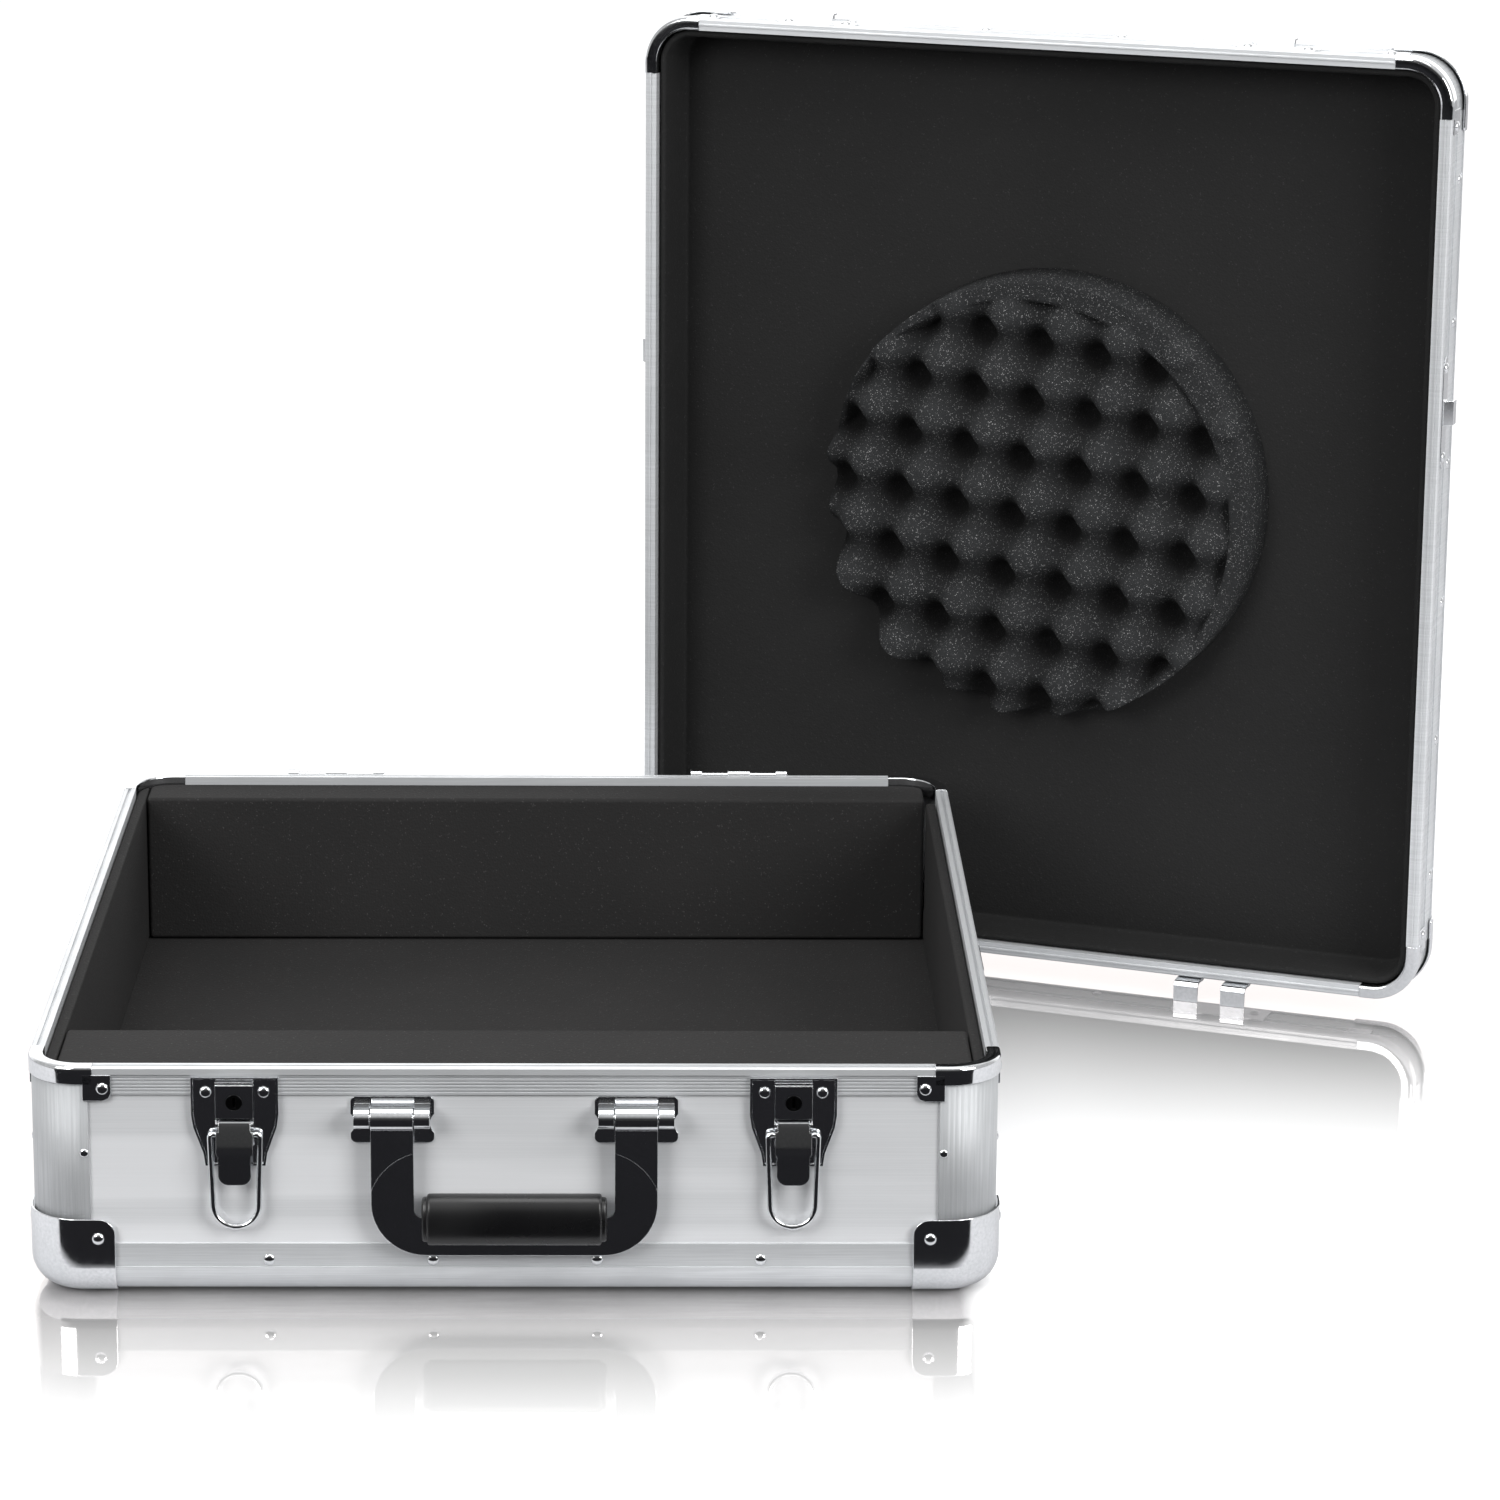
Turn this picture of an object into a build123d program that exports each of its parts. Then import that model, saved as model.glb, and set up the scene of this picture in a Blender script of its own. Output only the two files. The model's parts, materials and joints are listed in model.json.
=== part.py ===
from build123d import *
import os
from math import cos, degrees, pi, radians, sin, tan

os.makedirs("parts", exist_ok=True)

# Mixer flight case: an open base tray, with its lid lifted off and stood on its hinge edge behind.
# The origin is the centre of the base's underside. +X is to the right, +Y to the rear, +Z up.

# Overall sizes of both trays
case_width = 480.0
case_depth = 545.0
base_height = 118.7
lid_height = 45.5
corner_radius = 27.0
sheet = 1.2

# Boards that the aluminium holds
board = 4.0
skin_inset = 0.8
board_inset = skin_inset + sheet

# Rim rail: a grooved face below a smooth bead, with a groove or a tongue along its top
bead_height = 4.0
rail_face = 10.4
rim_rail_height = bead_height + rail_face
rim_width = 7.0
rim_leg = 9.0
seam_width = 1.6
seam_depth = 1.2
tongue_width = 1.0
tongue_height = 0.9
face_groove_count = 5
face_groove_width = 0.7
face_groove_depth = 0.4

# Bottom rails of the base and back rails of the lid
base_rail_height = 27.0
base_nose = 15.0
lid_rail_height = 27.0
lid_nose = 15.0
rail_flange = 24.0

# Corner posts
post_flange = 4.0
post_flutes = 10
post_groove_width = 0.9
post_groove_depth = 0.4

# Ball corners
ball_leaf = 43.0
leaf_clearance = 0.3
base_ball_height = 40.0
lid_ball_height = 19.0
ball_leaf_round = 8.0
lid_ball_leaf_round = 2.5
ball_rivet_inset = 34.6
ball_rivet_height = 30.0
lid_ball_rivet_inset = 33.0

# Rim corner caps
cap_proud = 0.5
cap_reach = 6.5
cap_tab_reach = 9.0
cap_tab_width = 14.0
cap_tab_drop = 13.3
cap_band_drop = 5.0
cap_rivet_inset = 38.3
cap_rivet_drop = 11.0
cap_tab_round = 4.0

# Rivets
rivet_radius = 3.0
rivet_crown = 1.7
rivet_sides = 8
rivet_taper = 30.0
small_rivet_radius = 2.2
small_rivet_crown = 1.2
rail_rivet_pitch = 81.0
rail_rivet_height = 18.5
post_rivet_height = 74.0
post_rivet_inset = 28.6

# Lining
lining_thickness = 6.0
lining_gap = 0.3
rim_reveal = 4.0
floor_lining_top = 29.0
front_block_depth = 66.0
rear_block_depth = 32.0
slot_width = 7.0
slot_sill = 48.0
lid_lining_thickness = 3.0
lid_lining_side = 4.0
foam_radius = 130.0
foam_sides = 48
foam_rise = 2.0
foam_base = 9.0
foam_peak = 15.0
foam_pitch = 35.0
foam_peak_root = 33.0
foam_taper = 33.0
foam_turn = -8.5

# Hinges: two lift-off pairs. The base carries the pins and the lid the hooks.
hinge_inset = 121.3
hinge_offset = case_width / 2 - hinge_inset
hinge_width = 56.6
end_knuckle = 6.5
middle_knuckle = 13.0
knuckle_radius = 3.5
knuckle_sides = 12
hinge_pin_radius = 2.0
pin_out = 4.2
pin_drop = 1.5
leaf_sheet = 1.5
leaf_top = 10.0
leaf_foot = 30.0
neck_out = 2.4
neck_drop = 5.5
hinge_rivet_spread = 20.0
hinge_rivet_drop = 22.0
finger_width = 14.4
finger_clearance = 0.5
hook_bend = 4.0
hook_reach = 8.0
hook_lip = 12.5
board_corner = 6.0

# Where the lid stands. Its hook lips rest on the plane that the ball corners rest on.
foot_level = -sheet
lid_side_step = 45.5
lid_front_step = 15.5
lid_x = case_width / 2 + lid_side_step
lid_y = case_depth / 2 - lid_front_step
lid_turn = 21.75

# Handle
handle_mount_offset = 59.9
mount_width = 41.0
mount_waist = 2.0
mount_waist_radius = 7.0
mount_height = 23.8
mount_gap = 0.7
handle_axis_drop = 24.1
handle_axis_out = 5.7
barrel_radius = 6.0
barrel_width = 21.0
lug_radius = 5.4
lug_width = 7.6
lug_clearance = 0.5
handle_pin_radius = 2.0
running_clearance = 0.06
strap_thickness = 3.0
strap_half_width = 70.4
arm_width = 21.0
bow_corner = 27.0
bow_drop = 95.3
bow_bar = 20.0
bow_inner_round = 4.0
bow_crease_step = 0.5
crease_drop = 42.0
crease_foot = 61.7
crease_bow = 32.0
grip_length = 91.0
grip_height = 26.0
grip_thickness = 17.0
grip_sides = 20
grip_end_step = 1.6
grip_end_width = 2.5
grip_out = 7.6
grip_drop = 75.9

# Latches, with a lock in each of the two front ones
front_latch_inset = 103.0
front_latch_offset = case_width / 2 - front_latch_inset
side_latch_offset = 73.0
plate_half_width = 21.4
plate_foot_half_width = 14.7
plate_top = 4.9
plate_shoulder = 24.0
plate_foot = 50.4
plate_bends = 4
plate_sheet = 1.0
plate_lip_width = 1.1
plate_lip_height = 1.0
latch_rivet_spread = 14.2
latch_rivet_drop = 12.6
lock_half_width = 9.2
lock_top = 6.6
lock_foot = 24.8
lock_height = 5.0
plug_radius = 4.0
plug_drop = 16.4
plug_proud = 0.4
key_slot_width = 1.6
key_slot_length = 5.6
plug_clearance = 0.05
plug_depth = 4.0
lock_step = 1.2
lever_axis_drop = 28.4
lever_axis_out = 2.8
lever_barrel = 2.3
lever_pin_radius = 1.2
lever_top_half_width = 7.9
lever_half_width = 9.0
lever_sheet = 1.3
lever_knee = 42.0
lever_knee_out = 8.9
lever_end = 58.2
thumb_half_width = 8.0
thumb_out = 6.6
thumb_round = 5.0
lever_cheek = 1.3
cheek_top = 31.4
cheek_in = 1.0
ear_thickness = 1.0
ear_gap = 0.35
bail_axis_drop = 33.4
bail_axis_out = 3.2
bail_wire = 1.4
wire_sides = 8
bail_half_width = 12.4
bail_foot_half_width = 11.2
bail_eye = 2.7
bail_drop = 82.8
bail_bends = 6

# Keepers on the lid
keeper_half_width = 24.0
side_keeper_half_width = 32.0
keeper_height = 10.0
keeper_sheet = 1.2
keeper_tab_half_width = 9.4
keeper_tab_rise = 5.4
keeper_catch = 13.0
keeper_lip = 3.5
side_keeper_tab_half_width = 7.0
keeper_rivet_inset = 6.5
keeper_point = 4.5
keeper_chamfer = 2.0


def on(frame, plane):
    """A plane given in a tray's own frame, carried to where that tray is."""
    return Plane(frame.location * plane.location)


def spot(frame, x, y, z):
    """A point given in a frame's own coordinates, in the model's."""
    return frame.from_local_coords(Vector(x, y, z))


# Both trays have their rim at z=0 of their own frame, opening towards +z.
base_frame = Plane.XY.offset(base_height)
lid_edge_height = foot_level + hook_lip
lid_frame = Plane(
    origin=(lid_x, lid_y, lid_edge_height + case_depth / 2),
    x_dir=(cos(radians(lid_turn)), -sin(radians(lid_turn)), 0),
    z_dir=(-sin(radians(lid_turn)), -cos(radians(lid_turn)), 0),
)

# The walls of a tray by the direction that they face: half the distance across, and half the length
RIGHT, REAR, LEFT, FRONT = 0, 90, 180, 270
wall_names = {FRONT: "front", REAR: "rear", LEFT: "left", RIGHT: "right"}


def wall_reach(facing):
    return case_depth / 2 if facing in (FRONT, REAR) else case_width / 2


def wall_half_length(facing):
    return case_width / 2 if facing in (FRONT, REAR) else case_depth / 2


def section_plane(frame, facing, along=0.0):
    """Across a wall: x runs inward from its outer face, y up to the rim, and the normal along the wall."""
    turn = radians(facing)
    out = Vector(cos(turn), sin(turn), 0)
    run = Vector(-sin(turn), cos(turn), 0)
    return on(frame, Plane(origin=out * wall_reach(facing) + run * along, x_dir=-out, z_dir=run))


def wall_plane(frame, facing, along=0.0, height=0.0):
    """On a wall's outer face: x runs along it, y up to the rim, and the normal points outward."""
    turn = radians(facing)
    out = Vector(cos(turn), sin(turn), 0)
    run = Vector(-sin(turn), cos(turn), 0)
    origin = out * wall_reach(facing) + run * along + Vector(0, 0, height)
    return on(frame, Plane(origin=origin, x_dir=run, z_dir=out))


corner_names = {0: "rear_right", 1: "rear_left", 2: "front_left", 3: "front_right"}
corner_signs = {0: (1, 1), 1: (-1, 1), 2: (-1, -1), 3: (1, -1)}


def corner_planes(frame, corner):
    """The section planes where a corner's quarter turn starts and ends."""
    sign_x, sign_y = corner_signs[corner]
    centre = Vector(
        sign_x * (case_width / 2 - corner_radius), sign_y * (case_depth / 2 - corner_radius), 0
    )
    planes = []
    for facing in (90 * corner, 90 * corner + 90):
        turn = radians(facing)
        out = Vector(cos(turn), sin(turn), 0)
        run = Vector(-sin(turn), cos(turn), 0)
        plane = Plane(origin=centre + out * corner_radius, x_dir=-out, z_dir=run)
        planes.append(on(frame, plane))
    return planes


def ball_frame(frame, corner, height):
    """At the sharp outer corner of a tray's bottom: x and y run inward along the walls, z to the rim."""
    sign_x, sign_y = corner_signs[corner]
    turn = radians(90 * (corner - 2))
    origin = (sign_x * case_width / 2, sign_y * case_depth / 2, -height)
    return on(frame, Plane(origin=origin, x_dir=(cos(turn), sin(turn), 0), z_dir=(0, 0, 1)))


def keep(part, name):
    """Label a finished piece and write it as its own node."""
    part.label = name
    export_step(part, f"parts/{name}.step")


# Rails


def rim_section(plane, tongue):
    """The rim rail: bead, grooved outer face, top web and short inner leg."""
    pitch = rail_face / (face_groove_count + 1)
    with BuildSketch(plane) as section:
        with BuildLine():
            Polyline(
                (0, -0.8),
                (0.8, 0),
                (rim_width, 0),
                (rim_width, -rim_leg),
                (board_inset + board, -rim_leg),
                (board_inset + board, -bead_height + sheet),
                (board_inset, -bead_height + sheet),
                (board_inset, -rim_rail_height),
                (skin_inset, -rim_rail_height),
                (skin_inset, -bead_height),
                (0, -bead_height),
                close=True,
            )
        make_face()
        for index in range(face_groove_count):
            with Locations((skin_inset, -bead_height - pitch * (index + 1))):
                Rectangle(2 * face_groove_depth, face_groove_width, mode=Mode.SUBTRACT)
        if tongue:
            with Locations((rim_width / 2, 0)):
                Rectangle(tongue_width, tongue_height, align=(Align.CENTER, Align.MIN))
        else:
            with Locations((rim_width / 2, 0)):
                Rectangle(
                    seam_width, seam_depth, align=(Align.CENTER, Align.MAX), mode=Mode.SUBTRACT
                )
    return section.sketch


def rim_rail(frame, facing, tongue):
    half = wall_half_length(facing) - corner_radius - cap_reach
    with BuildPart() as rail:
        extrude(rim_section(section_plane(frame, facing, -half), tongue), amount=2 * half)
    return rail.part


def nose_seat(nose):
    """How far up from the rail's bottom the side board stands."""
    return 0.7 * nose


def edge_section(plane, height, nose, rail_height):
    """A bottom rail: rounded nose, outer flange with a step, and a flange under the bottom board."""
    seat = nose_seat(nose)
    with BuildSketch(plane) as section:
        with BuildLine():
            RadiusArc((0, -height + nose), (nose, -height), -nose)
            Polyline(
                (nose, -height),
                (rail_flange, -height),
                (rail_flange, -height + sheet),
                (nose - sheet, -height + sheet),
                (nose - sheet, -height + sheet + board),
                (board_inset + board, -height + sheet + board),
                (board_inset + board, -height + seat),
                (board_inset, -height + seat),
                (board_inset, -height + rail_height),
                (skin_inset, -height + rail_height),
                (skin_inset, -height + nose),
                (0, -height + nose),
            )
        make_face()
    return section.sketch


def edge_rail(frame, facing, height, nose, rail_height):
    half = wall_half_length(facing) - corner_radius - post_flange
    with BuildPart() as rail:
        section = edge_section(section_plane(frame, facing, -half), height, nose, rail_height)
        extrude(section, amount=2 * half)
    return rail.part


# Boards


def side_board(frame, facing, height, nose):
    half = wall_half_length(facing) - corner_radius
    with BuildPart() as panel:
        with BuildSketch(section_plane(frame, facing)):
            with Locations((board_inset, -bead_height + sheet)):
                Rectangle(
                    board,
                    height - bead_height + sheet - nose_seat(nose),
                    align=(Align.MIN, Align.MAX),
                )
        extrude(amount=half, both=True)
    return panel.part


def bottom_board(frame, height, nose):
    """The board rests in the rails with a rebated edge, so that its face is flush with their flanges."""
    edge = nose - sheet
    with BuildPart() as panel:
        with BuildSketch(on(frame, Plane.XY.offset(-height + sheet))):
            RectangleRounded(case_width - 2 * edge, case_depth - 2 * edge, board_corner)
        extrude(amount=board)
        with BuildSketch(on(frame, Plane.XY.offset(-height))):
            Rectangle(case_width - 2 * rail_flange, case_depth - 2 * rail_flange)
            with GridLocations(
                case_width - 2 * rail_flange, case_depth - 2 * rail_flange, 2, 2
            ):
                Rectangle(2 * leaf_notch, 2 * leaf_notch, mode=Mode.SUBTRACT)
        extrude(amount=sheet)
    return panel.part


# Corners


def post_outline(corner):
    """The post's plan: flat lands between upright grooves, and a flange along each wall."""
    first = 90 * corner
    sign_x, sign_y = corner_signs[corner]
    centre = Vector(
        sign_x * (case_width / 2 - corner_radius), sign_y * (case_depth / 2 - corner_radius)
    )
    outer = corner_radius - skin_inset
    inner = outer - sheet
    step = 90 / post_flutes
    half_groove = degrees(post_groove_width / 2 / outer)

    def around(radius, turn):
        angle = radians(first + turn)
        return centre + Vector(radius * cos(angle), radius * sin(angle))

    def beside(radius, turn, reach):
        angle = radians(first + turn)
        return around(radius, turn) + Vector(-sin(angle), cos(angle)) * reach

    outside = [beside(outer, 0, -post_flange), around(outer, 0)]
    for flute in range(1, post_flutes):
        turn = flute * step
        outside += [
            around(outer, turn - half_groove),
            around(outer - post_groove_depth, turn - half_groove),
            around(outer - post_groove_depth, turn + half_groove),
            around(outer, turn + half_groove),
        ]
    outside += [around(outer, 90), beside(outer, 90, post_flange)]
    inside = [around(inner, flute * step) for flute in range(post_flutes + 1)]
    inside = [beside(inner, 0, -post_flange)] + inside + [beside(inner, 90, post_flange)]
    return outside + inside[::-1]


def corner_post(frame, corner, height, foot):
    """A quarter-round extrusion with upright grooves and a flange on each wall."""
    with BuildPart() as post:
        with BuildSketch(on(frame, Plane.XY.offset(-height + foot))):
            with BuildLine():
                Polyline(*post_outline(corner), close=True)
            make_face()
        extrude(amount=height - foot - bead_height)
    return post.part


def ball_corner(frame, corner, height, nose, leaf_height, leaf_round):
    """A pressed corner over the rails and the post: rounded below, with a leaf on each of three faces."""
    at = ball_frame(frame, corner, height)
    toward = (at.x_dir + at.y_dir).normalized()
    inward = Axis(at.origin, toward)
    up = Axis(at.origin, at.z_dir)
    with BuildPart() as ball:
        with BuildSketch(on(at, Plane.XY.offset(-sheet))):
            with BuildLine():
                FilletPolyline(
                    (ball_leaf, -sheet),
                    (-sheet, -sheet),
                    (-sheet, ball_leaf),
                    radius=corner_radius + sheet,
                )
                Polyline((-sheet, ball_leaf), (ball_leaf, ball_leaf), (ball_leaf, -sheet))
            make_face()
        extrude(amount=leaf_height + sheet)
        bottom = ball.faces().sort_by(up)[0]
        fillet(bottom.edges().sort_by(inward)[:3], radius=nose + sheet)
        top = ball.faces().sort_by(up)[-1]
        inner = [
            ball.faces().sort_by(Axis(at.origin, at.x_dir))[-1],
            ball.faces().sort_by(Axis(at.origin, at.y_dir))[-1],
        ]
        offset(amount=-sheet, openings=[top] + inner)
        corners = [edge for edge in ball.edges() if abs(edge.length - sheet) < sheet / 10]
        fillet(corners, radius=leaf_round)
    return ball.part


def rim_cap(frame, corner):
    """The rim's corner: a bead round the turn, a band below it and a riveted tab at each end."""
    start, end = corner_planes(frame, corner)
    before = start.offset(-cap_reach)
    with BuildPart() as cap:
        with BuildLine() as path:
            Line(before.origin, start.origin)
            TangentArc(start.origin, end.origin, tangent=start.z_dir)
            Line(end.origin, end.offset(cap_reach).origin)
        with BuildSketch(before):
            with BuildLine():
                Polyline(
                    (-cap_proud, -1.0),
                    (0.6, cap_proud),
                    (rim_width, cap_proud),
                    (rim_width, -rim_leg),
                    (board_inset + board, -rim_leg),
                    (board_inset + board, -bead_height + sheet),
                    (board_inset, -bead_height + sheet),
                    (board_inset, -bead_height),
                    (skin_inset, -bead_height),
                    (skin_inset, -bead_height - cap_band_drop),
                    (skin_inset - sheet, -bead_height - cap_band_drop),
                    (skin_inset - sheet, -bead_height),
                    (-cap_proud, -bead_height),
                    close=True,
                )
            make_face()
        sweep(path=path.line)
        for plane, way in ((start, -1), (end, 1)):
            tab = Plane(
                origin=plane.from_local_coords(Vector(skin_inset, -bead_height, 0)),
                x_dir=plane.z_dir,
                z_dir=-plane.x_dir,
            )
            with BuildSketch(tab):
                with BuildLine():
                    far = way * (cap_reach + cap_tab_reach)
                    near = far - way * cap_tab_width
                    FilletPolyline(
                        (far, 0), (far, -cap_tab_drop), (near, -cap_tab_drop), radius=cap_tab_round
                    )
                    Polyline((near, -cap_tab_drop), (near, 0), (far, 0))
                make_face()
            extrude(amount=sheet)
    return cap.part


def rivet_on(plane, spots, radius=rivet_radius, crown=rivet_crown):
    """Low rivet heads that stand on a plane."""
    with BuildPart() as heads:
        for at in spots:
            seat = Plane(origin=plane.from_local_coords(at), x_dir=plane.x_dir, z_dir=plane.z_dir)
            with BuildSketch(seat):
                RegularPolygon(radius, rivet_sides)
            extrude(amount=crown, taper=rivet_taper)
    return heads.part


# Fittings


def neck(frame, facing, along, width):
    """The strip by which a hinge leaf passes outside the bead of the rim."""
    with BuildPart() as strip:
        with BuildSketch(section_plane(frame, facing, along)):
            with BuildLine():
                Polyline(
                    (-finger_clearance, -pin_drop),
                    (-neck_out, -pin_drop),
                    (-neck_out, -neck_drop),
                    (skin_inset - leaf_sheet, -leaf_top + 1.0),
                    (skin_inset - leaf_sheet, -leaf_top),
                    (skin_inset, -leaf_top),
                    (skin_inset, -bead_height - finger_clearance),
                    (-finger_clearance, -bead_height - finger_clearance),
                    close=True,
                )
            make_face()
        extrude(amount=width / 2, both=True)
    return strip.part


def base_hinge(along):
    """Three knuckles on a leaf. The fingers of the lid's hook pass between them."""
    facing = REAR
    section = section_plane(base_frame, facing, along)
    end_offset = (hinge_width - end_knuckle) / 2
    with BuildPart() as hinge:
        with BuildSketch(section):
            with BuildLine():
                Polyline(
                    (skin_inset, -leaf_top),
                    (skin_inset - leaf_sheet, -leaf_top),
                    (skin_inset - leaf_sheet, -leaf_foot),
                    (board_inset, -leaf_foot),
                    (board_inset, -rim_rail_height),
                    (skin_inset, -rim_rail_height),
                    close=True,
                )
            make_face()
        extrude(amount=hinge_width / 2, both=True)
        for offset_along, width in (
            (-end_offset, end_knuckle),
            (0, middle_knuckle),
            (end_offset, end_knuckle),
        ):
            add(neck(base_frame, facing, along + offset_along, width))
            with BuildSketch(section_plane(base_frame, facing, along + offset_along)):
                with Locations((-pin_out, -pin_drop)):
                    RegularPolygon(knuckle_radius, knuckle_sides)
            extrude(amount=width / 2, both=True)
        with BuildSketch(section):
            with Locations((-pin_out, -pin_drop)):
                Circle(hinge_pin_radius)
        extrude(amount=hinge_width, both=True, mode=Mode.SUBTRACT)
    return hinge.part


def base_hinge_pin(along):
    with BuildPart() as pin:
        with BuildSketch(section_plane(base_frame, REAR, along)):
            with Locations((-pin_out, -pin_drop)):
                Circle(hinge_pin_radius)
        extrude(amount=hinge_width / 2, both=True)
    return pin.part


def lid_hook(along):
    """A leaf with two fingers that curl outward, to hook under the pin of the base's hinge."""
    facing = FRONT
    finger_offset = (middle_knuckle + hinge_width - 2 * end_knuckle) / 4
    with BuildPart() as hook:
        with BuildSketch(section_plane(lid_frame, facing, along)):
            with BuildLine():
                Polyline(
                    (skin_inset, -leaf_top),
                    (skin_inset - leaf_sheet, -leaf_top),
                    (skin_inset - leaf_sheet, -leaf_foot),
                    (skin_inset, -leaf_foot),
                    close=True,
                )
            make_face()
        extrude(amount=hinge_width / 2, both=True)
        for side in (-1, 1):
            at = along + side * finger_offset
            add(neck(lid_frame, facing, at, finger_width))
            with BuildSketch(section_plane(lid_frame, facing, at)):
                with BuildLine():
                    middle = finger_clearance + leaf_sheet / 2
                    FilletPolyline(
                        (-middle, -pin_drop - 1.0),
                        (-middle, hook_reach - leaf_sheet / 2),
                        (-hook_lip, hook_reach - leaf_sheet / 2),
                        radius=hook_bend - leaf_sheet / 2,
                    )
                trace(line_width=leaf_sheet)
            extrude(amount=finger_width / 2, both=True)
    return hook.part


def handle_mount(along):
    """A waisted plate below the rim with a lug each side of the handle's barrel."""
    plate_face = -board_inset + sheet
    top = -rim_rail_height - mount_gap
    middle = top - mount_height / 2
    lug_offset = (barrel_width + lug_width) / 2 + lug_clearance
    with BuildPart() as mount:
        with BuildSketch(wall_plane(base_frame, FRONT, along).offset(-board_inset)):
            with Locations((0, middle)):
                RectangleRounded(mount_width, mount_height, mount_gap * 4)
            with Locations(
                (-mount_width / 2 - mount_waist_radius + mount_waist, middle - mount_waist),
                (mount_width / 2 + mount_waist_radius - mount_waist, middle - mount_waist),
            ):
                Circle(mount_waist_radius, mode=Mode.SUBTRACT)
        extrude(amount=sheet)
        for side in (-1, 1):
            with BuildSketch(section_plane(base_frame, FRONT, along + side * lug_offset)):
                with Locations((-handle_axis_out, -handle_axis_drop)):
                    RegularPolygon(lug_radius, knuckle_sides)
                    Rectangle(
                        handle_axis_out - plate_face, 2 * lug_radius, align=(Align.MIN, Align.CENTER)
                    )
            extrude(amount=lug_width / 2, both=True)
        with BuildSketch(section_plane(base_frame, FRONT, along)):
            with Locations((-handle_axis_out, -handle_axis_drop)):
                Circle(handle_pin_radius)
        extrude(amount=mount_width, both=True, mode=Mode.SUBTRACT)
    return mount.part


def handle_bow():
    """A flat strap bent to a broad U, with a barrel at the head of each arm."""
    face = wall_plane(base_frame, FRONT).offset(handle_axis_out - strap_thickness / 2)
    inner = strap_half_width - arm_width
    with BuildPart() as bow:
        with BuildSketch(face):
            with BuildLine():
                FilletPolyline(
                    (-strap_half_width, -handle_axis_drop),
                    (-strap_half_width, -bow_drop),
                    (strap_half_width, -bow_drop),
                    (strap_half_width, -handle_axis_drop),
                    radius=bow_corner,
                )
                Line((strap_half_width, -handle_axis_drop), (inner, -handle_axis_drop))
                FilletPolyline(
                    (inner, -handle_axis_drop),
                    (inner, -bow_drop + bow_bar),
                    (-inner, -bow_drop + bow_bar),
                    (-inner, -handle_axis_drop),
                    radius=bow_inner_round,
                )
                Line((-inner, -handle_axis_drop), (-strap_half_width, -handle_axis_drop))
            make_face()
        extrude(amount=strap_thickness)
        with BuildSketch(face.offset(strap_thickness)):
            with BuildLine():
                RadiusArc((-inner, -crease_drop), (-strap_half_width, -crease_foot), -crease_bow)
                Polyline(
                    (-strap_half_width, -crease_foot),
                    (-strap_half_width, -bow_drop),
                    (strap_half_width, -bow_drop),
                    (strap_half_width, -crease_foot),
                )
                RadiusArc((strap_half_width, -crease_foot), (inner, -crease_drop), -crease_bow)
                Line((inner, -crease_drop), (-inner, -crease_drop))
            make_face()
        extrude(amount=-bow_crease_step, mode=Mode.SUBTRACT)
        for side in (-1, 1):
            at = section_plane(base_frame, FRONT, side * handle_mount_offset)
            with BuildSketch(at):
                with Locations((-handle_axis_out, -handle_axis_drop)):
                    Circle(barrel_radius)
            extrude(amount=barrel_width / 2, both=True)
            with BuildSketch(at):
                with Locations((-handle_axis_out, -handle_axis_drop)):
                    Circle(handle_pin_radius + running_clearance)
            extrude(amount=barrel_width, both=True, mode=Mode.SUBTRACT)
    return bow.part


def handle_grip():
    """A stout oval grip with a stepped collar at each end, slotted over the bar of the bow."""
    middle = section_plane(base_frame, FRONT)
    with BuildPart() as grip:
        for half, shrink in ((grip_length / 2 - grip_end_width, 0), (grip_length / 2, grip_end_step)):
            with BuildSketch(middle):
                with BuildLine():
                    Polyline(
                        *[
                            (
                                -grip_out + (grip_thickness / 2 - shrink) * cos(2 * pi * side / grip_sides),
                                -grip_drop + (grip_height / 2 - shrink) * sin(2 * pi * side / grip_sides),
                            )
                            for side in range(grip_sides)
                        ],
                        close=True,
                    )
                make_face()
            extrude(amount=half, both=True)
        with BuildSketch(middle):
            with Locations((-handle_axis_out, -bow_drop + bow_bar)):
                Rectangle(strap_thickness, grip_height * 2, align=(Align.CENTER, Align.MAX))
        extrude(amount=grip_length, both=True, mode=Mode.SUBTRACT)
    return grip.part


def handle_pin_pair():
    half = barrel_width / 2 + lug_clearance + lug_width
    with BuildPart() as pins:
        for side in (-1, 1):
            with BuildSketch(section_plane(base_frame, FRONT, side * handle_mount_offset)):
                with Locations((-handle_axis_out, -handle_axis_drop)):
                    Circle(handle_pin_radius)
            extrude(amount=half, both=True)
    return pins.part


def latch_outline(face, edge_only=False):
    """Square-shouldered at the rim and drawn in to a narrow foot: the whole, or just its edge."""
    shares = [step / plate_bends for step in range(plate_bends + 1)]
    narrowing = plate_half_width - plate_foot_half_width
    side = [
        (
            plate_foot_half_width + narrowing * (1 + cos(pi * share)) / 2,
            -plate_shoulder - (plate_foot - plate_shoulder) * share,
        )
        for share in shares
    ]
    right = [(plate_half_width, -plate_top)] + side
    left = [(-x, y) for x, y in reversed(right)]
    with BuildSketch(face) as outline:
        with BuildLine():
            Polyline(*right, *left, close=True)
        make_face()
        if edge_only:
            offset(amount=-plate_lip_width, mode=Mode.SUBTRACT)
    return outline.sketch


plate_face_out = -skin_inset + plate_sheet


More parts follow.
